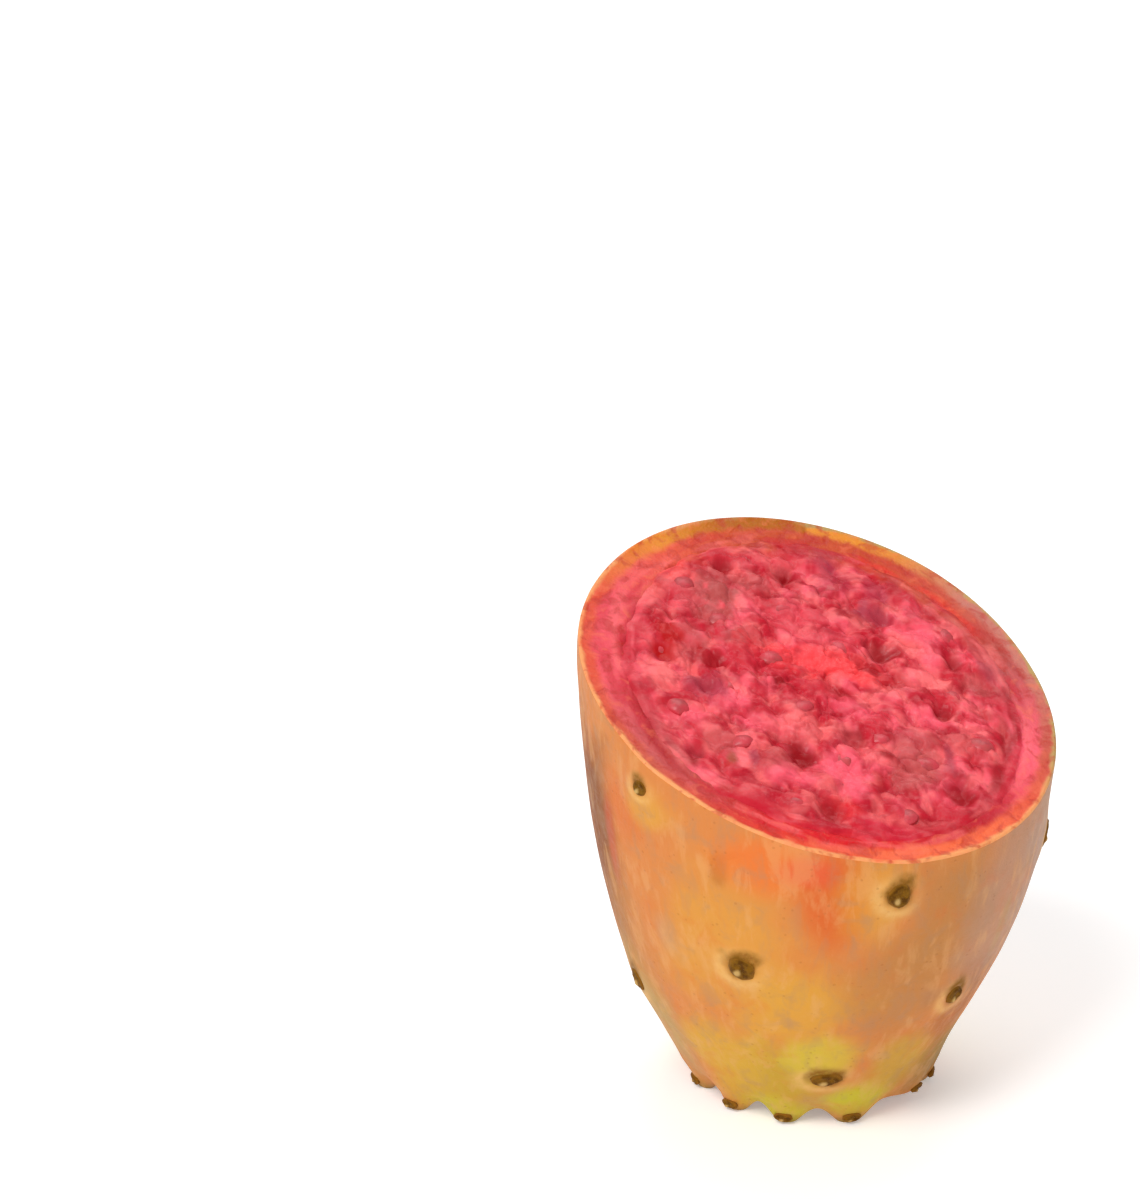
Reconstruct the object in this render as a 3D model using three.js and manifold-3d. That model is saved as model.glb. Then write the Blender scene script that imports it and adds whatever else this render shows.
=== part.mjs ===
// Half of a prickly pear fruit: cut across at a slant, standing on the scalloped rim of its flower scar.
// Two solids: the rind, a thick cup with its skin, spine cushions, rim and scar, and the pulp that fills
// the cup, with its juice sacs, its seeds and the pits that lost seeds have left.
// Millimetres, +Z up. The origin is on the fruit's axis at the level it stands on. X runs to the right,
// and -Y is the front, where the cut face slopes down. Angles run round the axis from the front to +X.
import * as THREE from "three";
import { mergeVertices } from "three/addons/utils/BufferGeometryUtils.js";
import Module from "manifold-3d";

const wasm = await Module();
wasm.setup();

// ---- Driving dimensions ----

// Skin radius at heights above the ground, from the rim up past the cut.
const SKIN_STATIONS = [
  [0, 12.4],
  [3, 14.0],
  [7, 16.05],
  [12, 18.6],
  [18, 21.1],
  [25, 23.15],
  [32, 24.45],
  [38, 25.15],
  [44, 25.6],
  [51, 25.75],
  [60, 24.0],
];
const OVAL_SHARE = 0.004; // how far the round is squeezed into an oval
const THREE_CORNERED_SHARE = 0.003; // and how far into a soft three-cornered shape
const OVAL_TURN = radians(20);
const THREE_CORNERED_TURN = radians(75);
const LEAN = 0.62; // how far the lower part bends out to the left
const LEAN_HEIGHT = 10.5;
const LEAN_SPREAD = 9.5;
const NOD = 0.4; // how far the upper part bends to the front
const NOD_HEIGHT = 30; // height where it has bent that far

// The cut: its height on the axis and its slope along X and Y.
const CUT_HEIGHT = 46.0;
const CUT_SLOPE_X = -0.225;
const CUT_SLOPE_Y = 0.371;

// The rind between skin and pulp, thinnest at the front and thickest on the left.
const RIND_THICKNESS = 4.37; // all round, on average
const RIND_LESS_IN_FRONT = 0.6; // and as much more behind
const RIND_LESS_ON_RIGHT = 0.45; // and as much more on the left
const RIND_OVAL = 0.38; // less in front and behind, more on both sides
const BOWL_FLOOR = 10.5; // height of the pulp's lowest point
const BOWL_TOP = 26; // height where the round bottom becomes the wall
const BOWL_FULLNESS = 0.8; // under 1 makes the bottom fuller than an ellipse
const PULP_GAP = 0.3;

// The rim round the flower scar: a rolled lip that is let down into lobes, and cut flat where they stand.
const LIP_RADIUS = 11.9;
const LIP_HEIGHT = 2.8;
const LIP_ROLL = 1.3;
// The lobes round the rim, as [angle in degrees, drop].
const LOBES = [
  [16, 2.1],
  [56, 0.5],
  [80, 1.7],
  [110, 2.1],
  [141, 1.9],
  [172, 2.1],
  [203, 1.8],
  [232, 2.1],
  [260, 1.9],
  [286, 2.1],
  [316, 2.1],
  [344, 2.1],
];
const LOBE_BULGE = 0.4;
const LOBE_FADE = 2.4; // height over which a lobe runs out into the flank
const SCAR_HEIGHT = 4.6;
const SCAR_EDGE_HEIGHT = 3.9;
const SCAR_WRINKLE = 0.22;
const SCAR_WRINKLES = 17;

// Spine cushions: those on the side that shows, as [angle in degrees, height], and the fill of the rest.
const FRONT_CUSHIONS = [
  [1.9, 7],
  [-68.6, 14.5],
  [41.4, 16.5],
  [-22.4, 22.2],
  [16, 31.5],
  [84.7, 29.3],
  [-48, 40.6],
  [-112, 40],
];
const CUSHION_SPACING = 13.5;
const CUSHION_LOWEST = 8;
const CUSHION_TRIES = 60;
const CUSHION_RISE = 0.78; // height step between tries
const CUT_CLEARANCE = 3.5; // no cushion nearer the cut than this
const KNOLL_HEIGHT = 0.6;
const KNOLL_WIDTH = 3.0;
const PAD_LENGTH = 1.9; // half sizes of the woolly pad on a knoll
const PAD_WIDTH = 1.55;
const PAD_HEIGHT = 0.5;
const RIM_PAD_LENGTH = 0.62; // half sizes of the pad on the foot of a lobe
const RIM_PAD_WIDTH = 1.05;
const RIM_PAD_HEIGHT = 0.5;
const RIM_PAD_PLACE = 0.95; // how far round the lip's roll it sits

// Juice sacs of the pulp on the cut face, in a sunflower spiral, with seeds and pits in some.
const SAC_COUNT = 84;
const SAC_FIELD = 0.95; // share of the pulp's radius that the sacs' centres reach
const SAC_JITTER = 0.75;
const SAC_RADIUS = 2.5;
const SAC_DOME = 0.4;
const SAC_LEVEL = -0.15; // the domes' feet against the plane of the cut
const SEED_SPACING = 5.4; // no two seeds nearer than this
const CORE_SHARE = 0.22; // the middle of the face has no seeds
const SEED_LENGTH = 1.8; // half sizes of a seed
const SEED_WIDTH = 1.45;
const SEED_THICKNESS = 1.1;
const SEED_SINK = 0.88;
const SEED_TILT = radians(24);
const PIT_DEPTH = 1.3;
const PIT_RADIUS = 1.3;
const EDGE_BAND = 0.1; // share of the radius over which the relief dies out at the rind
// Pits that show, as [x, y] seen from above.
const PITS = [
  [-9.9, 15.0],
  [-3.1, 15.5],
  [7.3, 11.9],
  [-16.8, -0.5],
  [-10.8, -0.3],
  [6.8, 6.6],
  [-12.1, -4.6],
  [3.3, -7.8],
  [-2.4, -11.6],
  [-13.5, -14.4],
  [13.3, -0.8],
  [15.0, 7.0],
  [14.2, -12.6],
  [0.5, -18.9],
];

const SEGMENTS = 90;
const PULP_SEGMENTS = 64;
const GOLDEN_ANGLE = radians(137.508);

// ---- Shape rules ----

function radians(degrees) {
  return (degrees * Math.PI) / 180;
}

// A number from 0 to 1 that depends only on its two whole-number arguments.
function draw(index, stream) {
  const wave = Math.sin(index * 12.9898 + stream * 78.233) * 43758.5453;
  return wave - Math.floor(wave);
}

function smooth(share) {
  const t = Math.min(1, Math.max(0, share));
  return t * t * (3 - 2 * t);
}

function mix(a, b, share) {
  return a + (b - a) * share;
}

// Radius of the round skin at a height, by cubic arcs through the stations.
function stationRadius(height) {
  const last = SKIN_STATIONS.length - 1;
  let i = 0;
  while (i < last - 1 && height > SKIN_STATIONS[i + 1][0]) i += 1;
  const slope = (a, b) =>
    (SKIN_STATIONS[b][1] - SKIN_STATIONS[a][1]) / (SKIN_STATIONS[b][0] - SKIN_STATIONS[a][0]);
  const [low, radiusLow] = SKIN_STATIONS[i];
  const [high, radiusHigh] = SKIN_STATIONS[i + 1];
  const step = high - low;
  const t = (height - low) / step;
  const slopeLow = slope(Math.max(0, i - 1), i + 1);
  const slopeHigh = slope(i, Math.min(last, i + 2));
  return (
    radiusLow * (2 * t ** 3 - 3 * t ** 2 + 1) +
    slopeLow * step * (t ** 3 - 2 * t ** 2 + t) +
    radiusHigh * (3 * t ** 2 - 2 * t ** 3) +
    slopeHigh * step * (t ** 3 - t ** 2)
  );
}

function bodyRadius(angle, height) {
  const oval = OVAL_SHARE * Math.cos(2 * (angle - OVAL_TURN));
  const threeCornered = THREE_CORNERED_SHARE * Math.cos(3 * (angle - THREE_CORNERED_TURN));
  const lean = LEAN * Math.exp(-(((height - LEAN_HEIGHT) / LEAN_SPREAD) ** 2));
  const nod = NOD * smooth(height / NOD_HEIGHT);
  return stationRadius(height) * (1 + oval + threeCornered) - lean * Math.sin(angle) + nod * Math.cos(angle);
}

function around(radius, angle, height) {
  return new THREE.Vector3(radius * Math.sin(angle), -radius * Math.cos(angle), height);
}

function cutHeight(x, y) {
  return CUT_HEIGHT + CUT_SLOPE_X * x + CUT_SLOPE_Y * y;
}

// Height where a wall of a given radius rule meets the cut at an angle.
function edgeHeight(angle, radiusAt) {
  let height = CUT_HEIGHT;
  for (let turn = 0; turn < 40; turn += 1) {
    const p = around(radiusAt(angle, height), angle, height);
    height = mix(height, cutHeight(p.x, p.y), 0.6);
  }
  return height;
}

// How an angle lies to the lobes of the rim: swell is 1 at the middle of a lobe and 0 midway between two,
// and drop is the nearest lobe's.
function lobeAt(angle) {
  const degrees = ((((angle * 180) / Math.PI) % 360) + 360) % 360;
  const passed = LOBES.filter(([place]) => place <= degrees).length;
  const [before, dropBefore] = LOBES[(passed + LOBES.length - 1) % LOBES.length];
  const [after, dropAfter] = LOBES[passed % LOBES.length];
  const share = ((degrees - before + 360) % 360) / ((after - before + 360) % 360);
  return { swell: 0.5 + 0.5 * Math.cos(2 * Math.PI * share), drop: share < 0.5 ? dropBefore : dropAfter };
}

// Spine cushions as {angle, height}: the seen ones, then tries up a spiral that keep their distance.
function placeCushions() {
  const placed = FRONT_CUSHIONS.map(([degrees, height]) => ({ angle: radians(degrees), height }));
  for (let i = 0; i < CUSHION_TRIES; i += 1) {
    const angle = i * GOLDEN_ANGLE;
    const height = CUSHION_LOWEST + i * CUSHION_RISE;
    const point = around(bodyRadius(angle, height), angle, height);
    const crowded = placed.some(
      (c) => point.distanceTo(around(bodyRadius(c.angle, c.height), c.angle, c.height)) < CUSHION_SPACING,
    );
    if (!crowded && height < cutHeight(point.x, point.y) - CUT_CLEARANCE) placed.push({ angle, height });
  }
  return placed;
}

const CUSHIONS = placeCushions();

// How far the skin swells over the knolls under the spine cushions.
function knolls(angle, height) {
  const radius = bodyRadius(angle, height);
  return CUSHIONS.reduce((sum, c) => {
    const turn = Math.atan2(Math.sin(angle - c.angle), Math.cos(angle - c.angle));
    const distance = Math.hypot(turn * radius, height - c.height);
    return sum + KNOLL_HEIGHT * Math.exp(-((distance / KNOLL_WIDTH) ** 2));
  }, 0);
}

function skinRadius(angle, height) {
  const bulge = LOBE_BULGE * lobeAt(angle).swell * Math.exp(-Math.max(0, height - LIP_HEIGHT) / LOBE_FADE);
  return bodyRadius(angle, height) + knolls(angle, height) + bulge;
}

function skinPoint(angle, height) {
  return around(skinRadius(angle, height), angle, height);
}

function rindThickness(angle) {
  const uneven = RIND_LESS_IN_FRONT * Math.cos(angle) + RIND_LESS_ON_RIGHT * Math.sin(angle);
  return RIND_THICKNESS - uneven - RIND_OVAL * Math.cos(2 * angle);
}

// A wall inside the rind: the rind's own with no gap, the pulp's with its gap.
function innerRadius(gap) {
  return (angle, height) => bodyRadius(angle, height) - rindThickness(angle) - gap;
}

// Points of the bowl and its wall, from the cut edge at share 1 to the bottom on the axis at share 0.
function bowlPoint(share, angle, gap) {
  const radiusAt = innerRadius(gap);
  if (share > 0.5) {
    const height = mix(BOWL_TOP, edgeHeight(angle, radiusAt), 2 * share - 1);
    return around(radiusAt(angle, height), angle, height);
  }
  const swing = Math.PI * share;
  const height = BOWL_TOP - (BOWL_TOP - BOWL_FLOOR - gap) * Math.cos(swing);
  return around(radiusAt(angle, BOWL_TOP) * Math.sin(swing) ** BOWL_FULLNESS, angle, height);
}

// ---- Juice sacs, seeds and pits on the cut face ----

function pulpEdge(angle) {
  const radiusAt = innerRadius(PULP_GAP);
  return around(radiusAt(angle, edgeHeight(angle, radiusAt)), angle, 0);
}

function placeSacs() {
  const sacs = [];
  for (let k = 0; k < SAC_COUNT; k += 1) {
    const angle = k * GOLDEN_ANGLE;
    const reach = SAC_FIELD * Math.sqrt((k + 0.5) / SAC_COUNT);
    const centre = pulpEdge(angle).multiplyScalar(reach);
    sacs.push({
      x: centre.x + SAC_JITTER * (2 * draw(k, 1) - 1),
      y: centre.y + SAC_JITTER * (2 * draw(k, 2) - 1),
      reach,
      seed: false,
      pit: false,
      index: k,
    });
  }
  for (const [x, y] of PITS) {
    const free = sacs.filter((sac) => !sac.pit);
    const nearest = free.reduce((a, b) =>
      Math.hypot(a.x - x, a.y - y) < Math.hypot(b.x - x, b.y - y) ? a : b,
    );
    Object.assign(nearest, { x, y, pit: true });
  }
  for (const sac of sacs) {
    const crowded = sacs.some((o) => o.seed && Math.hypot(o.x - sac.x, o.y - sac.y) < SEED_SPACING);
    sac.seed = !sac.pit && !crowded && sac.reach > CORE_SHARE;
  }
  return sacs;
}

const SACS = placeSacs();

// Height of the pulp over the plane of the cut: a dome for each sac, creases between, and the pits.
function relief(x, y) {
  const distances = SACS.map((sac) => Math.hypot(sac.x - x, sac.y - y));
  const nearest = Math.min(...distances);
  const dome = SAC_LEVEL + SAC_DOME * (1 - (nearest / SAC_RADIUS) ** 2);
  return SACS.reduce(
    (sum, sac, i) => (sac.pit ? sum - PIT_DEPTH * Math.exp(-((distances[i] / PIT_RADIUS) ** 2)) : sum),
    dome,
  );
}

function facePoint(share, angle) {
  const p = pulpEdge(angle).multiplyScalar(share);
  const fade = smooth((1 - share) / EDGE_BAND);
  p.z = cutHeight(p.x, p.y) + relief(p.x, p.y) * fade;
  return p;
}

// ---- Solids ----

// A closed solid turned round the axis: a lathe of as many rows as it is given, whose points are then
// put where the rule says. The first and last rows lie on the axis.
function turned(rows, pointOf, segments) {
  const profile = rows.map((row) => {
    const p = pointOf(row, 0);
    return new THREE.Vector2(Math.hypot(p.x, p.y), p.z);
  });
  const geometry = new THREE.LatheGeometry(profile, segments);
  const position = geometry.getAttribute("position");
  for (let i = 0; i < position.count; i += 1) {
    const segment = Math.floor(i / rows.length) % segments;
    const p = pointOf(rows[i % rows.length], (2 * Math.PI * segment) / segments);
    position.setXYZ(i, p.x, p.y, p.z);
  }
  return geometry;
}

function solidOf(geometry) {
  const bare = geometry.clone();
  bare.deleteAttribute("normal");
  bare.deleteAttribute("uv");
  const merged = mergeVertices(bare);
  return new wasm.Manifold(
    new wasm.Mesh({
      numProp: 3,
      vertProperties: merged.getAttribute("position").array,
      triVerts: new Uint32Array(merged.index.array),
    }),
  );
}

function meshOf(solid, name, material) {
  const made = solid.getMesh();
  const geometry = new THREE.BufferGeometry();
  geometry.setAttribute("position", new THREE.BufferAttribute(made.vertProperties, 3));
  geometry.setIndex(new THREE.BufferAttribute(made.triVerts, 1));
  geometry.computeVertexNormals();
  const mesh = new THREE.Mesh(geometry, material);
  mesh.name = name;
  return mesh;
}

// A small squashed ball, for a pad or a seed.
function ball(halfSizes, place, turn, sides, rings) {
  const matrix = new THREE.Matrix4().compose(place, turn, halfSizes);
  return solidOf(new THREE.SphereGeometry(1, sides, rings).applyMatrix4(matrix));
}

function shares(from, to, steps) {
  return Array.from({ length: steps }, (_, i) => mix(from, to, (i + 0.5) / steps));
}

// ---- The rind ----

function scarPoint(share, angle) {
  const wrinkle = SCAR_WRINKLE * Math.sin(SCAR_WRINKLES * angle) * share * (1 - share) * 4;
  const height = mix(SCAR_HEIGHT, SCAR_EDGE_HEIGHT, share ** 2) + wrinkle;
  return around((LIP_RADIUS - LIP_ROLL) * share, angle, height);
}

// The rolled lip, from its inner side at share 0, over its underside, to the flank at share 1.
function lipPoint(share, angle) {
  const roll = Math.PI * mix(1, 1.83, share);
  const { swell, drop } = lobeAt(angle);
  const letDown = drop * swell * Math.sin(Math.PI * mix(0.12, 0.85, share));
  const radius = LIP_RADIUS + LIP_ROLL * Math.cos(roll) + LOBE_BULGE * swell * share;
  return around(radius, angle, Math.max(0, LIP_HEIGHT + LIP_ROLL * Math.sin(roll) - letDown));
}

function flankPoint(share, angle) {
  const lowest = LIP_HEIGHT + LIP_ROLL * 0.4;
  return skinPoint(angle, mix(lowest, edgeHeight(angle, skinRadius), share));
}

function rindBody() {
  const rules = {
    scar: scarPoint,
    lip: lipPoint,
    flank: flankPoint,
    bowl: (share, angle) => bowlPoint(share, angle, 0),
  };
  const rows = [
    ["scar", 0],
    ["scar", 0.3],
    ["scar", 0.62],
    ["scar", 0.92],
    ...shares(0, 1, 7).map((share) => ["lip", share]),
    ...shares(0, 1, 17).map((share) => ["flank", share]),
    ["flank", 1],
    ["bowl", 1],
    ...shares(1, 0.5, 2).map((share) => ["bowl", share]),
    ...shares(0.5, 0, 4).map((share) => ["bowl", share]),
    ["bowl", 0],
  ];
  return solidOf(turned(rows, ([zone, share], angle) => rules[zone](share, angle), SEGMENTS));
}

// A woolly pad sunk in a surface and flat against it. The surface is a rule for the point at an angle and
// a place up the fruit, and step is how far up and down it is felt for its slope.
function pad(surface, angle, place, step, halfSizes) {
  const up = surface(angle, place + step).sub(surface(angle, place - step)).normalize();
  const side = around(1, angle + Math.PI / 2, 0);
  const normal = new THREE.Vector3().crossVectors(side, up).normalize();
  const turn = new THREE.Quaternion().setFromRotationMatrix(new THREE.Matrix4().makeBasis(side, up, normal));
  return ball(halfSizes, surface(angle, place), turn, 8, 4);
}

function rind() {
  const onFlank = new THREE.Vector3(PAD_WIDTH, PAD_LENGTH, PAD_HEIGHT);
  const onLobe = new THREE.Vector3(RIM_PAD_WIDTH, RIM_PAD_LENGTH, RIM_PAD_HEIGHT);
  const lip = (angle, share) => lipPoint(share, angle);
  const pads = [
    ...CUSHIONS.map((c) => pad(skinPoint, c.angle, c.height, 0.5, onFlank)),
    ...LOBES.map(([degrees]) => pad(lip, radians(degrees), RIM_PAD_PLACE, 0.05, onLobe)),
  ];
  const ground = new THREE.BoxGeometry(80, 80, 20).translate(0, 0, -10);
  const solid = wasm.Manifold.union([rindBody(), ...pads]).subtract(solidOf(ground));
  const skin = new THREE.MeshStandardMaterial({ color: 0xdd8c4f, roughness: 0.5, metalness: 0 });
  return meshOf(solid, "rind", skin);
}

// ---- The pulp ----

function pulpBody() {
  const rules = {
    face: facePoint,
    bowl: (share, angle) => bowlPoint(share, angle, PULP_GAP),
  };
  const rows = [
    ["bowl", 0],
    ...shares(0, 0.5, 4).map((share) => ["bowl", share]),
    ...shares(0.5, 1, 2).map((share) => ["bowl", share]),
    ["face", 1],
    ["face", 0.97],
    ...shares(0.955, 0, 16).map((share) => ["face", share]),
    ["face", 0],
  ];
  return solidOf(turned(rows, ([zone, share], angle) => rules[zone](share, angle), PULP_SEGMENTS));
}

function seed(sac) {
  const lean = new THREE.Euler(
    SEED_TILT * (2 * draw(sac.index, 4) - 1),
    SEED_TILT * (2 * draw(sac.index, 5) - 1),
    2 * Math.PI * draw(sac.index, 6),
  );
  const height = cutHeight(sac.x, sac.y) + relief(sac.x, sac.y) - SEED_SINK;
  const halfSizes = new THREE.Vector3(SEED_LENGTH, SEED_WIDTH, SEED_THICKNESS);
  const turn = new THREE.Quaternion().setFromEuler(lean);
  return ball(halfSizes, new THREE.Vector3(sac.x, sac.y, height), turn, 8, 4);
}

function pulp() {
  const seeds = SACS.filter((sac) => sac.seed).map(seed);
  const flesh = new THREE.MeshStandardMaterial({ color: 0xc93a55, roughness: 0.3, metalness: 0 });
  return meshOf(wasm.Manifold.union([pulpBody(), ...seeds]), "pulp", flesh);
}

const fruitHalf = new THREE.Group();
fruitHalf.add(rind(), pulp());

export default fruitHalf;
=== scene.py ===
"""Half of a prickly pear fruit, cut across at a slant and standing on the scalloped rim of its flower scar.

Shapes are worked out in millimetres round the fruit's own axis and become metres when a mesh is made.
Angles run round the axis from the front (-Y) towards +X. The numbers of the form are the construction's own,
so the fine pieces keep the form of the solids that they stand for.
"""

import logging
import math
from dataclasses import dataclass
from enum import Enum, IntEnum
from typing import Callable

import bpy
import numpy as np
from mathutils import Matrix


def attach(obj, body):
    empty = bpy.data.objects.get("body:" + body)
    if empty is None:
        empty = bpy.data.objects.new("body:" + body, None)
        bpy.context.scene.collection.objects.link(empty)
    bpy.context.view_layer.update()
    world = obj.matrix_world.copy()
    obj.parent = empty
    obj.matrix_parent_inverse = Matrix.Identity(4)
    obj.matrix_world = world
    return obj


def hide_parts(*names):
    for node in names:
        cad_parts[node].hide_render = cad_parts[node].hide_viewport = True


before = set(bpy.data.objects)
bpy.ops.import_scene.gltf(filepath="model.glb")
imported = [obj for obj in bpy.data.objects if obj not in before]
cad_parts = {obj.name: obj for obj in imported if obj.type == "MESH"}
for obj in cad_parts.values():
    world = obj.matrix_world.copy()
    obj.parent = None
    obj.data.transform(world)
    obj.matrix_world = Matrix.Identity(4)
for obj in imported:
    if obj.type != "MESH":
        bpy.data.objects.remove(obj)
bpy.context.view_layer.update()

LOG = logging.getLogger("prickly_pear")
Array = np.ndarray
MM = 0.001
TAU = 2 * math.pi
GOLDEN_ANGLE = math.radians(137.508)
BODY = "root"
DRAW_STEP, DRAW_STREAM_STEP, DRAW_GAIN = 12.9898, 78.233, 43758.5453
LATTICE_STEPS = np.array([374761393, 668265263, 1103515245])
LATTICE_MIX = 1274126177
LOW_BITS, HALF_RANGE = 0xFFFFFFFF, 0x7FFFFFFF
MIX_FIRST, MIX_SECOND, MIX_RESULT = 6, 7, 2
UP = np.array([0.0, 0.0, 1.0])
STAIN_REACH = 1.45  # a stain has faded away at this many of its half sizes


# ------------------------------------------------------------
# Numbers that look grown: seeded draws, layered noise and soft steps
# ------------------------------------------------------------


def draw(index: Array | float, stream: int) -> Array | float:
    """Return numbers from 0 to 1 that depend only on a thing's index and on the stream, one for each use."""
    wave = np.sin(index * DRAW_STEP + stream * DRAW_STREAM_STEP) * DRAW_GAIN
    return wave - np.floor(wave)


def soft_step(share: Array) -> Array:
    """Return 0 below 0, 1 above 1 and a smooth rise between."""
    t = np.clip(share, 0, 1)
    return t * t * (3 - 2 * t)


def bell(distance: Array, width: float) -> Array:
    """Return a smooth bump that is 1 at no distance and has faded at about twice its width."""
    return np.exp(-((distance / width) ** 2))


def lattice_noise(points: Array, cell: float, stream: int) -> Array:
    """Work out smooth noise on a cubic lattice.

    Args:
        points: Places in millimetres, with x, y and z on the last axis.
        cell: Size of a lattice cell in millimetres.
        stream: Whole number that picks the pattern.

    Returns:
        One number from -1 to 1 for each place.
    """
    scaled = points / cell
    low = np.floor(scaled).astype(np.int64)
    t = soft_step(scaled - low)
    total = np.zeros(points.shape[:-1])
    for corner in np.ndindex(2, 2, 2):
        node = low + np.array(corner)
        mixed = (node @ LATTICE_STEPS + stream * LATTICE_MIX) & LOW_BITS
        mixed = ((mixed ^ (mixed >> 13)) * LATTICE_MIX) & LOW_BITS
        value = (mixed ^ (mixed >> 16)) / HALF_RANGE - 1
        total += value * np.prod(np.where(np.array(corner) == 1, t, 1 - t), axis=-1)
    return total


def clouds(points: Array, size: float, stream: int, layers: int = 3) -> Array:
    """Lay noise of halving size and weight over itself.

    Args:
        points: Places in millimetres, with x, y and z on the last axis.
        size: Size in millimetres of the largest features.
        stream: Whole number that picks the pattern.
        layers: How many sizes are laid over each other.

    Returns:
        One number for each place, mostly between -1 and 1.
    """
    weights = 0.5 ** np.arange(layers)
    parts = [
        weight * lattice_noise(points, size * weight, stream + 17 * i) for i, weight in enumerate(weights)
    ]
    return 1.4 * sum(parts) / weights.sum()


def flat_places(x: Array, y: Array) -> Array:
    """Return the places at x and y on a level plane, for noise that runs over two numbers."""
    return np.stack([x, y, 0 * x], axis=-1)


# ------------------------------------------------------------
# The form of the fruit, in millimetres
# ------------------------------------------------------------


def around(radius: Array, angle: Array, height: Array) -> Array:
    """Turn a radius, an angle and a height into x, y and z on the last axis."""
    radius, angle, height = np.broadcast_arrays(radius, angle, height)
    return np.stack([radius * np.sin(angle), -radius * np.cos(angle), height], axis=-1)


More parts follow.
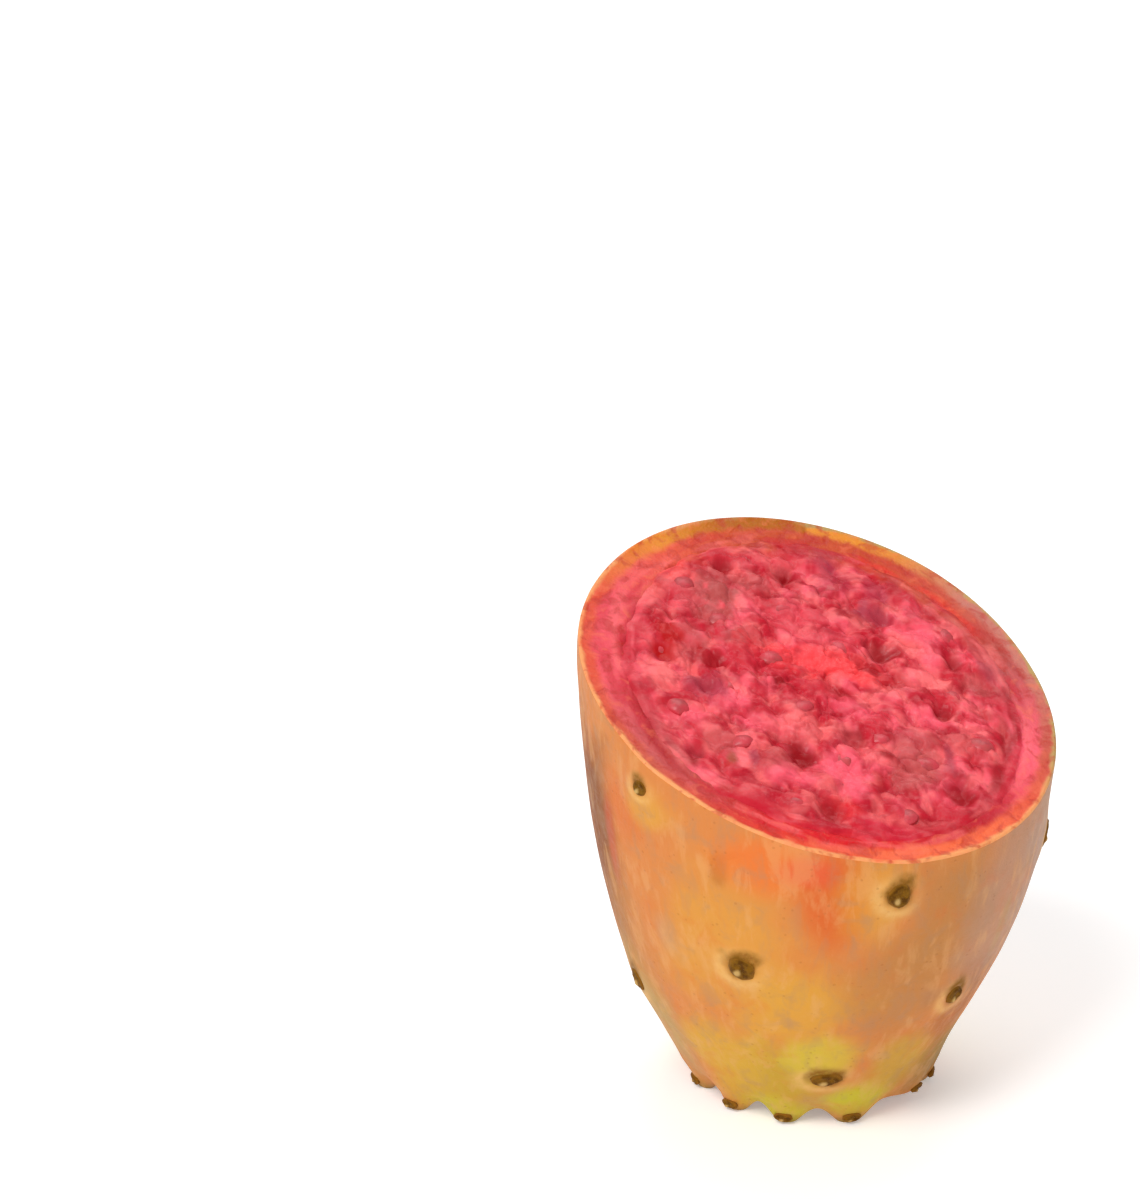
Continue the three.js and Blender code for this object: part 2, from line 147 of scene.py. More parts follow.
@dataclass(frozen=True)
class FruitForm:
    """Outline, cut and rind of the half.

    Attributes:
        stations: Heights and radii of the round skin from the rim up past the cut.
        oval_share: How far the round is squeezed into an oval, and oval_turn where to.
        corner_share: How far it is pulled into a soft three-cornered shape, and corner_turn where to.
        lean: How far the lower part bends out to the left, most at lean_height, over lean_spread.
        nod: How far the upper part bends to the front, all of it from nod_height up.
        cut_height: Height of the cut on the axis, with its slopes cut_slope_x and cut_slope_y.
        rind: Mean thickness of the rind. It is rind_front less in front, rind_right less on the right, and
            rind_oval less in front and behind than on both sides.
        bowl_floor: Height of the pulp's lowest point, and bowl_top where its wall begins.
        bowl_fullness: Under 1 makes the bottom of the bowl fuller than an ellipse.
        settle_steps: Tries that find where a wall meets the cut, each settle_share of the way there.
    """

    stations: tuple[tuple[float, float], ...] = (
        (0, 12.4), (3, 14.0), (7, 16.05), (12, 18.6), (18, 21.1), (25, 23.15), (32, 24.45), (38, 25.15),
        (44, 25.6), (51, 25.75), (60, 24.0),
    )
    oval_share: float = 0.004
    oval_turn: float = math.radians(20)
    corner_share: float = 0.003
    corner_turn: float = math.radians(75)
    lean: float = 0.62
    lean_height: float = 10.5
    lean_spread: float = 9.5
    nod: float = 0.4
    nod_height: float = 30.0
    cut_height: float = 46.0
    cut_slope_x: float = -0.225
    cut_slope_y: float = 0.371
    rind: float = 4.37
    rind_front: float = 0.6
    rind_right: float = 0.45
    rind_oval: float = 0.38
    bowl_floor: float = 10.5
    bowl_top: float = 26.0
    bowl_fullness: float = 0.8
    settle_steps: int = 40
    settle_share: float = 0.6

    def round_radius(self, height: Array) -> Array:
        """Find the radius of the round skin by cubic arcs through the stations.

        Args:
            height: Heights above the ground.

        Returns:
            The radius at each height.
        """
        heights, radii = np.array(self.stations).T
        last = len(heights) - 1
        low = np.clip(np.searchsorted(heights[1:], height, side="left"), 0, last - 1)
        before, high, after = np.maximum(low - 1, 0), low + 1, np.minimum(low + 2, last)
        step = heights[high] - heights[low]
        t = (height - heights[low]) / step
        slope_low = (radii[high] - radii[before]) / (heights[high] - heights[before])
        slope_high = (radii[after] - radii[low]) / (heights[after] - heights[low])
        return (
            radii[low] * (2 * t**3 - 3 * t**2 + 1)
            + slope_low * step * (t**3 - 2 * t**2 + t)
            + radii[high] * (3 * t**2 - 2 * t**3)
            + slope_high * step * (t**3 - t**2)
        )

    def body_radius(self, angle: Array, height: Array) -> Array:
        """Find the radius of the plain skin, with no knolls, lobes or dents.

        Args:
            angle: Angles round the axis.
            height: Heights above the ground.

        Returns:
            The radius at each place.
        """
        oval = self.oval_share * np.cos(2 * (angle - self.oval_turn))
        corners = self.corner_share * np.cos(3 * (angle - self.corner_turn))
        left = self.lean * bell(height - self.lean_height, self.lean_spread) * np.sin(angle)
        front = self.nod * soft_step(height / self.nod_height) * np.cos(angle)
        return self.round_radius(height) * (1 + oval + corners) - left + front

    def thickness(self, angle: Array) -> Array:
        """Return the thickness of the rind."""
        uneven = self.rind_front * np.cos(angle) + self.rind_right * np.sin(angle)
        return self.rind - uneven - self.rind_oval * np.cos(2 * angle)

    def inner_radius(self, angle: Array, height: Array, gap: float) -> Array:
        """Return the radius of the wall between rind and pulp, drawn in by a gap."""
        return self.body_radius(angle, height) - self.thickness(angle) - gap

    def plane(self, x: Array, y: Array) -> Array:
        """Return the height of the plane of the cut over x and y."""
        return self.cut_height + self.cut_slope_x * x + self.cut_slope_y * y

    def edge_height(self, angle: Array, radius_at: Callable[[Array, Array], Array]) -> Array:
        """Find where a wall meets the plane of the cut.

        Args:
            angle: Angles round the axis.
            radius_at: The wall's radius for angles and heights.

        Returns:
            The height of the meeting at each angle.
        """
        height = np.full(np.shape(angle), self.cut_height)
        for _ in range(self.settle_steps):
            point = around(radius_at(angle, height), angle, height)
            plane = self.plane(point[..., 0], point[..., 1])
            height = (1 - self.settle_share) * height + self.settle_share * plane
        return height

    def bowl(self, share: float, angle: Array, gap: float) -> Array:
        """Find a row of the wall and round bottom between rind and pulp.

        Args:
            share: 1 at the cut, 0.5 where the round bottom begins and 0 on the axis.
            angle: Angles round the axis.
            gap: How far the row is drawn in.

        Returns:
            The row's points.
        """
        if share > 0.5:
            top = self.edge_height(angle, lambda a, h: self.inner_radius(a, h, gap))
            height = self.bowl_top + (top - self.bowl_top) * (2 * share - 1)
            return around(self.inner_radius(angle, height, gap), angle, height)
        swing = math.pi * share
        height = self.bowl_top - (self.bowl_top - self.bowl_floor - gap) * math.cos(swing)
        reach = max(math.sin(swing), 0.0) ** self.bowl_fullness
        return around(self.inner_radius(angle, self.bowl_top, gap) * reach, angle, height)


@dataclass(frozen=True)
class Cushion:
    """A spine cushion: its angle, its height, and its width and length against a full-grown one's."""

    angle: float
    height: float
    width: float = 1.0
    length: float = 1.0


@dataclass(frozen=True)
class CushionLayout:
    """Where the spine cushions sit on the skin.

    Attributes:
        seen: Those on the side that shows, as angles in degrees, heights, widths and lengths.
        spacing: Least distance between two cushions.
        lowest: Height of the first try of the fill, with the rise from one to the next.
        tries: How many places the fill tries.
        cut_clearance: Least distance from a cushion of the fill up to the cut.
        least_size: Least width and length of a cushion of the fill, which may be size_more larger.
    """

    seen: tuple[tuple[float, float, float, float], ...] = (
        (1.9, 7, 1.1, 0.55),
        (-68.6, 14.5, 0.7, 0.75),
        (41.4, 16.5, 0.72, 0.7),
        (-22.4, 22.2, 0.95, 0.82),
        (16, 31.5, 0.85, 0.8),
        (84.7, 29.3, 0.9, 1.0),
        (-48, 40.6, 0.62, 0.5),
        (-112, 40, 0.9, 0.9),
    )
    spacing: float = 13.5
    lowest: float = 8.0
    rise: float = 0.78
    tries: int = 60
    cut_clearance: float = 3.5
    least_size: tuple[float, float] = (0.8, 0.75)
    size_more: float = 0.3

    def places(self, form: FruitForm) -> list[Cushion]:
        """Place the seen cushions and fill the rest of the skin up a spiral.

        Args:
            form: The fruit's form.

        Returns:
            The cushions.
        """
        placed = [
            Cushion(math.radians(degrees), float(height), width, length)
            for degrees, height, width, length in self.seen
        ]
        for i in range(self.tries):
            angle, height = i * GOLDEN_ANGLE, self.lowest + i * self.rise
            point = around(form.body_radius(angle, height), angle, height)
            others = [around(form.body_radius(c.angle, c.height), c.angle, c.height) for c in placed]
            crowded = min(np.linalg.norm(point - other) for other in others) < self.spacing
            if not crowded and height < form.plane(point[0], point[1]) - self.cut_clearance:
                sizes = [low + self.size_more * draw(i, 27 + k) for k, low in enumerate(self.least_size)]
                placed.append(Cushion(angle, height, *sizes))
        return placed


@dataclass(frozen=True)
class Skin:
    """The skin's surface with its knolls, the lobes of its rim and its small unevenness.

    Attributes:
        form: The fruit's form.
        cushions: The spine cushions.
        knoll_height: Rise of the knoll under a cushion, and knoll_width its reach.
        seat_depth: Depth of a cushion's seat in its knoll, as wide as seat_share of the cushion.
        lobes: The lobes of the rim, as angles in degrees and how far each is let down.
        lobe_bulge: How far a lobe swells, fading over lobe_fade above lip_height.
        furrow_depth: Depth of the furrow above each gap between lobes, fading over furrow_rise.
        unevenness: Rise and fall of the skin between knolls. The skin lies that much inside its form.
    """

    form: FruitForm
    cushions: tuple[Cushion, ...]
    knoll_height: float = 0.6
    knoll_width: float = 3.0
    seat_depth: float = 0.6
    seat_share: float = 1.3
    lobes: tuple[tuple[float, float], ...] = (
        (16, 2.1), (56, 0.5), (80, 1.7), (110, 2.1), (141, 1.9), (172, 2.1), (203, 1.8), (232, 2.1),
        (260, 1.9), (286, 2.1), (316, 2.1), (344, 2.1),
    )
    lobe_bulge: float = 0.4
    lobe_fade: float = 2.4
    lip_height: float = 2.8
    furrow_depth: float = 0.2
    furrow_rise: float = 4.5
    unevenness: float = 0.1

    def lobe_at(self, angle: Array) -> tuple[Array, Array]:
        """Find how angles lie to the lobes of the rim.

        Args:
            angle: Angles round the axis.

        Returns:
            1 at the middle of a lobe and 0 midway between two, and how far the nearest lobe is let down.
        """
        places, drops = np.array(self.lobes, dtype=float).T
        degrees = np.degrees(angle) % 360
        passed = np.searchsorted(places, degrees, side="right")
        before, after = (passed - 1) % len(places), passed % len(places)
        share = ((degrees - places[before]) % 360) / ((places[after] - places[before]) % 360)
        return 0.5 + 0.5 * np.cos(TAU * share), np.where(share < 0.5, drops[before], drops[after])

    def from_cushion(self, angle: Array, height: Array, cushion: Cushion) -> tuple[Array, Array]:
        """Return how far round the fruit and up it places lie from a cushion."""
        turn = (angle - cushion.angle + math.pi) % TAU - math.pi
        return turn * self.form.body_radius(angle, height), height - cushion.height

    def radius(self, angle: Array, height: Array) -> Array:
        """Find the skin's radius with everything that rises from it or is let into it.

        Args:
            angle: Angles round the axis.
            height: Heights above the ground.

        Returns:
            The radius at each place.
        """
        plain = self.form.body_radius(angle, height)
        swell = np.zeros(np.shape(plain))
        for cushion in self.cushions:
            across, up = self.from_cushion(angle, height, cushion)
            swell += self.knoll_height * bell(np.hypot(across, up), self.knoll_width)
            seat = np.hypot(across / cushion.width, up / cushion.length)
            swell -= self.seat_depth * bell(seat, self.seat_share)
        lobe = self.lobe_at(angle)[0]
        swell += self.lobe_bulge * lobe * np.exp(-np.maximum(0, height - self.lip_height) / self.lobe_fade)
        swell -= self.furrow_depth * (1 - lobe) * np.exp(-np.maximum(0, height - 1) / self.furrow_rise)
        place = around(plain, angle, height)
        swell += self.unevenness * (0.8 * clouds(place, 9.0, 3) - 1)
        return plain + swell

    def point(self, angle: Array, height: Array) -> Array:
        """Return the skin's point at an angle and a height."""
        return around(self.radius(angle, height), angle, height)

    def edge(self, angle: Array) -> Array:
        """Return the height where the skin meets the plane of the cut."""
        return self.form.edge_height(angle, self.radius)


# ------------------------------------------------------------
# Meshes
# ------------------------------------------------------------


def new_object(
    name: str, points: Array, faces: list[Array], *finishes: bpy.types.Material
) -> bpy.types.Object:
    """Make a mesh object from points in millimetres.

    Args:
        name: The piece's name.
        points: One row of x, y and z for each vertex.
        faces: Arrays of vertex numbers, each with one width of face.
        finishes: Its finishes. All faces have the first one until they are told otherwise.

    Returns:
        The object, linked to the scene and shaded smooth.
    """
    mesh = bpy.data.meshes.new(name)
    mesh.vertices.add(len(points))
    mesh.vertices.foreach_set("co", (points * MM).astype(np.float32).ravel())
    corners = np.concatenate([block.ravel() for block in faces]).astype(np.int32)
    sizes = np.concatenate([np.full(len(block), block.shape[1]) for block in faces])
    mesh.loops.add(len(corners))
    mesh.loops.foreach_set("vertex_index", corners)
    mesh.polygons.add(len(sizes))
    mesh.polygons.foreach_set("loop_start", (np.cumsum(sizes) - sizes).astype(np.int32))
    mesh.polygons.foreach_set("use_smooth", np.ones(len(sizes), dtype=bool))
    mesh.update(calc_edges=True)
    mesh.validate()
    for finish in finishes:
        mesh.materials.append(finish)
    made = bpy.data.objects.new(name, mesh)
    bpy.context.scene.collection.objects.link(made)
    return made


def closed_rows(rows: Array) -> tuple[Array, list[Array]]:
    """Close rows that run round the axis, lowest or outermost first, with a point at each end.

    Args:
        rows: Points by row and then by angle. The first and last rows are taken together to one point.

    Returns:
        The vertices, and the faces as triangles, quads and triangles.
    """
    count, around_count = rows.shape[:2]
    inner = rows[1:-1].reshape(-1, 3)
    points = np.concatenate([rows[:1].mean(axis=1), inner, rows[-1:].mean(axis=1)])
    here = np.arange(around_count)
    there = (here + 1) % around_count
    starts = 1 + np.arange(count - 3)[:, None] * around_count
    nexts = starts + around_count
    quads = np.stack([starts + here, starts + there, nexts + there, nexts + here], axis=-1).reshape(-1, 4)
    last = 1 + (count - 3) * around_count
    first_fan = np.stack([np.zeros_like(here), 1 + there, 1 + here], axis=-1)
    last_fan = np.stack([last + here, last + there, np.full_like(here, len(points) - 1)], axis=-1)
    return points, [first_fan, quads, last_fan]


def closed_shapes(shapes: list[Array]) -> tuple[Array, list[Array]]:
    """Close the rows of several shapes and gather them into one mesh.

    Args:
        shapes: For each shape its points by row and then by angle.

    Returns:
        The vertices and the faces of all shapes.
    """
    points, faces, count = [], [], 0
    for rows in shapes:
        shape_points, shape_faces = closed_rows(rows)
        points.append(shape_points)
        faces += [block + count for block in shape_faces]
        count += len(shape_points)
    return np.concatenate(points), faces


def at_vertices(values: Array) -> Array:
    """Return values by row and then by angle as one for each vertex of the closed rows."""
    return np.concatenate([values[0, :1], values[1:-1].ravel(), values[-1, :1]])


def paint(piece: bpy.types.Object, name: str, *masks: Array) -> None:
    """Store up to three masks on a piece's vertices, for its finish to read.

    Args:
        piece: The mesh object.
        name: Name of the attribute.
        masks: One number from 0 to 1 for each vertex and mask.
    """
    packed = np.ones((len(piece.data.vertices), 4), dtype=np.float32)
    for channel, mask in enumerate(masks):
        packed[:, channel] = mask
    layer = piece.data.attributes.new(name, "FLOAT_COLOR", "POINT")
    layer.data.foreach_set("color", packed.ravel())


def places_of(piece: bpy.types.Object) -> Array:
    """Read a piece's vertices.

    Args:
        piece: The mesh object.

    Returns:
        One row of x, y and z in millimetres for each vertex.
    """
    flat = np.empty(len(piece.data.vertices) * 3, dtype=np.float32)
    piece.data.vertices.foreach_get("co", flat)
    return flat.reshape(-1, 3).astype(float) / MM


# ------------------------------------------------------------
# Finishes
# ------------------------------------------------------------


def tint(code: str) -> tuple[float, float, float, float]:
    """Turn a colour's code into linear light.

    Args:
        code: The code, like "#DE8A4E".

    Returns:
        Linear red, green, blue and alpha.
    """
    shares = [int(code[i : i + 2], 16) / 255 for i in (1, 3, 5)]
    linear = [s / 12.92 if s <= 0.04045 else ((s + 0.055) / 1.055) ** 2.4 for s in shares]
    return (*linear, 1.0)


class NodeBoard:
    """A material's node tree, with short calls for the nodes that the finishes use."""

    def __init__(self, name: str) -> None:
        """Start a material with a shader and an output.

        Args:
            name: The material's name.
        """
        self.material = bpy.data.materials.new(name)
        self.material.use_nodes = True
        self.tree = self.material.node_tree
        self.shader = self.tree.nodes["Principled BSDF"]
        self.where = self.tree.nodes.new("ShaderNodeTexCoord").outputs["Object"]

    def feed(self, socket: bpy.types.NodeSocket, value: object) -> None:
        """Link a socket to another, or set its value.

        Args:
            socket: Input socket of a node.
            value: Output socket to link to it, or a number or colour.
        """
        if isinstance(value, bpy.types.NodeSocket):
            self.tree.links.new(value, socket)
        else:
            socket.default_value = value

    def constants(self, **values: float) -> None:
        """Set sockets of the shader that are the same all over, named with _ for a space."""
        for name, value in values.items():
            self.shader.inputs[name.replace("_", " ")].default_value = value

    def painted(self, name: str) -> bpy.types.NodeSocket:
        """Read paint from the mesh.

        Args:
            name: Name that it is stored under.

        Returns:
            The colour.
        """
        source = self.tree.nodes.new("ShaderNodeAttribute")
        source.attribute_name = name
        return source.outputs["Color"]

    def masks(self, name: str) -> list[bpy.types.NodeSocket]:
        """Read masks from the mesh.

        Args:
            name: Name that they are stored under.

        Returns:
            The three masks.
        """
        split = self.tree.nodes.new("ShaderNodeSeparateColor")
        self.feed(split.inputs["Color"], self.painted(name))
        return list(split.outputs)

    def noise(self, size_mm: float, detail: float = 3.0, roughness: float = 0.5, warp: float = 0.0,
              stretch: tuple[float, float, float] = (1, 1, 1), shift: float = 0.0) -> bpy.types.NodeSocket:
        """Add a cloudy noise.

        Args:
            size_mm: Size of its largest features.
            detail: How many finer layers it has.
            roughness: How strong those are.
            warp: How far it is pulled out of shape.
            stretch: How far it is drawn out along each axis.
            shift: Moves it to another part of the pattern.

        Returns:
            The noise, from 0 to 1.
        """
        node = self.tree.nodes.new("ShaderNodeTexNoise")
        place = self.tree.nodes.new("ShaderNodeMapping")
        place.inputs["Scale"].default_value = [1 / s for s in stretch]
        place.inputs["Location"].default_value = (shift, shift, shift)
        self.feed(place.inputs["Vector"], self.where)
        self.feed(node.inputs["Vector"], place.outputs["Vector"])
        node.inputs["Scale"].default_value = 1 / (size_mm * MM)
        node.inputs["Detail"].default_value = detail
        node.inputs["Roughness"].default_value = roughness
        node.inputs["Distortion"].default_value = warp
        return node.outputs["Fac"]

    def cells(self, size_mm: float) -> bpy.types.NodeSocket:
        """Add cells.

        Args:
            size_mm: Their size.

        Returns:
            The distance to the nearest cell's middle, in cells.
        """
        node = self.tree.nodes.new("ShaderNodeTexVoronoi")
        node.inputs["Scale"].default_value = 1 / (size_mm * MM)
        self.feed(node.inputs["Vector"], self.where)
        return node.outputs["Distance"]

    def maths(self, operation: str, first: object, second: object) -> bpy.types.NodeSocket:
        """Add one step of arithmetic on two numbers.

        Args:
            operation: Blender's name for it.
            first: Number or socket.
            second: Number or socket.

        Returns:
            The result.
        """
        node = self.tree.nodes.new("ShaderNodeMath")
        node.operation = operation
        self.feed(node.inputs[0], first)
        self.feed(node.inputs[1], second)
        return node.outputs[0]

    def span(self, value: object, low: float, high: float, to_low: float = 0.0,
             to_high: float = 1.0) -> bpy.types.NodeSocket:
        """Map one span onto another, smoothly and held at its ends.

        Args:
            value: The number.
            low: Where the first span begins.
            high: Where it ends, which may be below its beginning.
            to_low: Where the second span begins.
            to_high: Where it ends.

        Returns:
            The number on the second span.
        """
        node = self.tree.nodes.new("ShaderNodeMapRange")
        node.interpolation_type = "SMOOTHSTEP"
        for socket, number in zip(node.inputs, (value, low, high, to_low, to_high)):
            self.feed(socket, number)
        return node.outputs["Result"]

    def mix(self, share: object, first: object, second: object) -> bpy.types.NodeSocket:
        """Mix two colours.

        Args:
            share: How much of the second there is.
            first: Colour socket or linear colour.
            second: Colour socket or linear colour.

        Returns:
            The mixed colour.
        """
        node = self.tree.nodes.new("ShaderNodeMix")
        node.data_type = "RGBA"
        self.feed(node.inputs["Factor"], share)
        self.feed(node.inputs[MIX_FIRST], first)
        self.feed(node.inputs[MIX_SECOND], second)
        return node.outputs[MIX_RESULT]

    def overlay(self, colour: object, *layers: tuple[bpy.types.NodeSocket, float, float, float, str],
                within: object = None) -> bpy.types.NodeSocket:
        """Lay tints over a colour one after the other, each where a mask lies in its span.

        Args:
            colour: Colour socket or linear colour.
            layers: For each tint its mask, where the mask starts and stops to bring it in, its greatest
                share and its code.
            within: Mask that weakens all of them, if there is one.

        Returns:
            The new colour.
        """
        for mask, low, high, most, code in layers:
            share = self.span(mask, low, high, 0, most)
            if within is not None:
                share = self.maths("MULTIPLY", share, within)
            colour = self.mix(share, colour, tint(code))
        return colour

    def relief(self, *layers: tuple[bpy.types.NodeSocket, float]) -> bpy.types.NodeSocket:
        """Add small relief, one layer on top of the other.

        Args:
            layers: For each layer its height, as a number from 0 to 1, and its depth in millimetres.

        Returns:
            The normal.
        """
        normal = None
        for height, depth_mm in layers:
            node = self.tree.nodes.new("ShaderNodeBump")
            node.inputs["Strength"].default_value = 1.0
            node.inputs["Distance"].default_value = depth_mm * MM
            self.feed(node.inputs["Height"], height)
            if normal is not None:
                self.feed(node.inputs["Normal"], normal)
            normal = node.outputs["Normal"]
        return normal

    def let_light_in(self, weight: float, reach_mm: float, shares: tuple[float, float, float]) -> None:
        """Let a weight of light in, to a reach that differs by its shares for red, green and blue."""
        self.constants(Subsurface_Weight=weight, Subsurface_Scale=reach_mm * MM)
        self.shader.inputs["Subsurface Radius"].default_value = shares

    def finish(self, colour: object, roughness: object, normal: object = None) -> bpy.types.Material:
        """Feed the shader.

        Args:
            colour: Base colour.
            roughness: Roughness.
            normal: Normal from the small relief, if there is any.

        Returns:
            The material.
        """
        self.feed(self.shader.inputs["Base Color"], colour)
        self.feed(self.shader.inputs["Roughness"], roughness)
        if normal is not None:
            self.feed(self.shader.inputs["Normal"], normal)
        return self.material


@dataclass(frozen=True)
class WaxySkin:
    """Thin waxy skin: painted fields of colour under fine mottling, upright smears and pores."""

    halo: str = "#E2B26C"
    stain: str = "#84560C"
    rim: str = "#80702E"
    warm: str = "#D2642A"
    grey: str = "#A8805E"
    bloom: str = "#DCA468"
    speck: str = "#98501E"

    def material(self) -> bpy.types.Material:
        """Build the finish from the paint "SkinPaint" and the masks "Marks" (halo, stain, rim); the rim is
        partly painted contact shadow.

        Returns:
            The material.
        """
        board = NodeBoard("waxy_skin")
        mottle = board.noise(3.6, 5, 0.6, warp=0.6)
        smears = board.noise(2.0, 4, 0.6, warp=0.3, stretch=(1, 1, 3.2), shift=0.7)
        fine = board.noise(0.9, 4, 0.6, shift=0.3)
        colour = board.overlay(
            board.painted("SkinPaint"),
            (mottle, 0.52, 0.72, 0.22, self.warm),
            (mottle, 0.48, 0.3, 0.34, self.grey),
            (smears, 0.5, 0.68, 0.34, self.bloom),
            (smears, 0.48, 0.32, 0.22, self.grey),
        )
        marks = ((0.6, 0.5, 0.85, self.halo), (0.65, 0.6, 1.0, self.stain), (0.65, 0.5, 1.0, self.rim))
        for mask, (high, least, most, code) in zip(board.masks("Marks"), marks):
            share = board.maths("MULTIPLY", mask, board.span(fine, 0.3, high, least, most))
            colour = board.mix(share, colour, tint(code))
        pores = board.span(board.cells(0.8), 0.1, 0.26, 1, 0)
        some = board.span(board.noise(2.6, 2, shift=1.3), 0.5, 0.62)
        pored = board.maths("MULTIPLY", pores, some)
        colour = board.mix(board.maths("MULTIPLY", pored, 0.22), colour, tint(self.speck))
        relief = board.relief((board.noise(0.45, 4, 0.6), 0.04), (pored, 0.03), (mottle, 0.18))
        board.constants(Specular_IOR_Level=0.12)
        board.let_light_in(0.12, 1.2, (1.0, 0.45, 0.2))
        return board.finish(colour, board.span(fine, 0.3, 0.7, 0.48, 0.62), relief)


@dataclass(frozen=True)
class CutRind:
    """Moist cut rind: painted bands from the skin to the pulp, under veins, wisps and wet lumps."""

    vein: str = "#C02A22"
    wisp: str = "#F47C58"
    shade: str = "#B42820"

    def material(self) -> bpy.types.Material:
        """Build the finish from the paint "CutPaint".

        Returns:
            The material.
        """
        board = NodeBoard("cut_rind")
        cloudy = board.noise(1.7, 3, 0.5, warp=0.4, shift=0.4)
        fine = board.noise(0.5, 4, 0.6, shift=0.9)
        colour = board.overlay(
            board.painted("CutPaint"),
            (cloudy, 0.54, 0.7, 0.3, self.wisp),
            (cloudy, 0.5, 0.34, 0.55, self.shade),
        )
        colour = board.mix(board.span(board.cells(0.9), 0.08, 0.28, 0.14, 0), colour, tint(self.vein))
        board.constants(Specular_IOR_Level=0.14)
        board.let_light_in(0.12, 0.8, (1.0, 0.3, 0.2))
        relief = board.relief((fine, 0.07), (cloudy, 0.25))
        return board.finish(colour, board.span(cloudy, 0.3, 0.7, 0.3, 0.48), relief)


@dataclass(frozen=True)
class CorkyScar:
    """Dry cork of the flower scar, tan at its edge and orange-brown with dark rays inside."""

    tan: str = "#C79B62"
    brown: str = "#A8662E"
    dark: str = "#5E3A1E"

    def material(self) -> bpy.types.Material:
        """Build the finish from the masks "Scar": how far out, and the rays.

        Returns:
            The material.
        """
        board = NodeBoard("corky_scar")
        outwards, rays, _ = board.masks("Scar")
        grain = board.noise(0.7, 5, 0.7, warp=0.8)
        ragged = board.maths("ADD", outwards, board.span(grain, 0.3, 0.7, -0.2, 0.2))
        colour = board.mix(board.span(ragged, 0.55, 0.95), tint(self.brown), tint(self.tan))
        share = board.maths("MULTIPLY", rays, board.span(grain, 0.35, 0.6, 0.3, 0.9))
        return board.finish(board.mix(share, colour, tint(self.dark)), 0.85, board.relief((grain, 0.25)))


@dataclass(frozen=True)
class WetPulp:
    """Wet translucent pulp: painted sacs, veils and pits under fine flecks from maroon to pale pink, painted
    glints, and painted shade in creases and pits.
    """

    dark: str = "#8E0614"
    deep: str = "#A20A20"
    pale: str = "#FC6470"
    glint: str = "#FF969C"
    dust: str = "#CE6A6C"

    def material(self) -> bpy.types.Material:
        """Build the finish from the paint "PulpPaint" and the masks "Depths" (pit_shade, crease, calm); pits
        and creases take painted shade.

        Returns:
            The material.
        """
        board = NodeBoard("wet_pulp")
        pit_shade, crease, calm = board.masks("Depths")
        mottle = board.noise(2.6, 3, 0.5, warp=0.5, stretch=(1.5, 1, 1))
        flecks = board.noise(1.3, 3, 0.5, warp=0.4, stretch=(1.4, 1, 1), shift=0.5)
        fine = board.noise(0.4, 4, 0.6, shift=0.8)
        colour = board.overlay(
            board.painted("PulpPaint"),
            (mottle, 0.52, 0.64, 0.2, self.pale),
            (mottle, 0.48, 0.36, 0.45, self.deep),
            (flecks, 0.55, 0.66, 0.2, self.dust),
            (flecks, 0.45, 0.34, 0.3, self.deep),
            (fine, 0.62, 0.74, 0.15, self.glint),
            # Painted shade in creases and pits.
            (crease, 0.15, 1.0, 0.3, self.dark),
            (pit_shade, 0.15, 1.0, 0.8, self.dark),
            within=board.maths("SUBTRACT", 1.0, calm),
        )
        board.constants(Specular_IOR_Level=0.14, Coat_Weight=0.08, Coat_Roughness=0.14)
        board.let_light_in(0.1, 0.8, (1.0, 0.22, 0.25))
        relief = board.relief((fine, 0.04), (flecks, 0.07), (mottle, 0.15))
        return board.finish(colour, board.span(fine, 0.3, 0.7, 0.32, 0.52), relief)


@dataclass(frozen=True)
class SeedCoat:
    """Hard seed coat that shows as a dull brown-red through a film of juice."""

    brown: str = "#A8423C"
    dark: str = "#8A2A2C"
    juice: str = "#CE3040"

    def material(self) -> bpy.types.Material:
        """Build the finish.

        Returns:
            The material.
        """
        board = NodeBoard("seed_coat")
        grain = board.noise(0.8, 4, 0.6)
        film = board.noise(1.6, 4, 0.6, shift=0.2)
        colour = board.mix(board.span(grain, 0.35, 0.65), tint(self.brown), tint(self.dark))
        colour = board.mix(board.span(film, 0.35, 0.6, 0.4, 0.95), colour, tint(self.juice))
        board.constants(Coat_Weight=0.2, Coat_Roughness=0.2)
        return board.finish(colour, 0.5, board.relief((grain, 0.08)))


@dataclass(frozen=True)
class BrownFelt:
    """Dry felt of the spine cushions, brown with a tan heart low on the left of each pad, partly tan felt and
    partly painted highlight.
    """

    brown: str = "#7E540C"
    dark: str = "#583400"
    tan: str = "#CFA866"
    edge: str = "#8E5E1A"

    def material(self) -> bpy.types.Material:
        """Build the finish from the masks "Felt": the heart, and the rim of the pad.

        Returns:
            The material.
        """
        board = NodeBoard("brown_felt")
        heart, rim, _ = board.masks("Felt")
        fuzz = board.noise(0.25, 4, 0.7)
        clumps = board.noise(0.9, 3, 0.6, shift=0.4)
        colour = board.mix(board.span(clumps, 0.35, 0.65), tint(self.brown), tint(self.dark))
        # The tan heart is partly painted highlight on the lower left of the pad.
        colour = board.overlay(colour, (rim, 0.1, 1.0, 0.8, self.edge), (heart, 0.05, 0.8, 0.85, self.tan))
        board.constants(Sheen_Weight=0.04, Specular_IOR_Level=0.1)
        return board.finish(colour, 0.92, board.relief((fuzz, 0.12)))


@dataclass(frozen=True)
class DryBristle:
    """Dry straw-coloured bristles with brown stretches."""

    straw: str = "#A9803F"
    brown: str = "#6B4A20"

    def material(self) -> bpy.types.Material:
        """Build the finish.

        Returns:
            The material.
        """
        board = NodeBoard("dry_bristle")
        colour = board.mix(board.noise(0.6, 2), tint(self.straw), tint(self.brown))
        return board.finish(colour, 0.6)


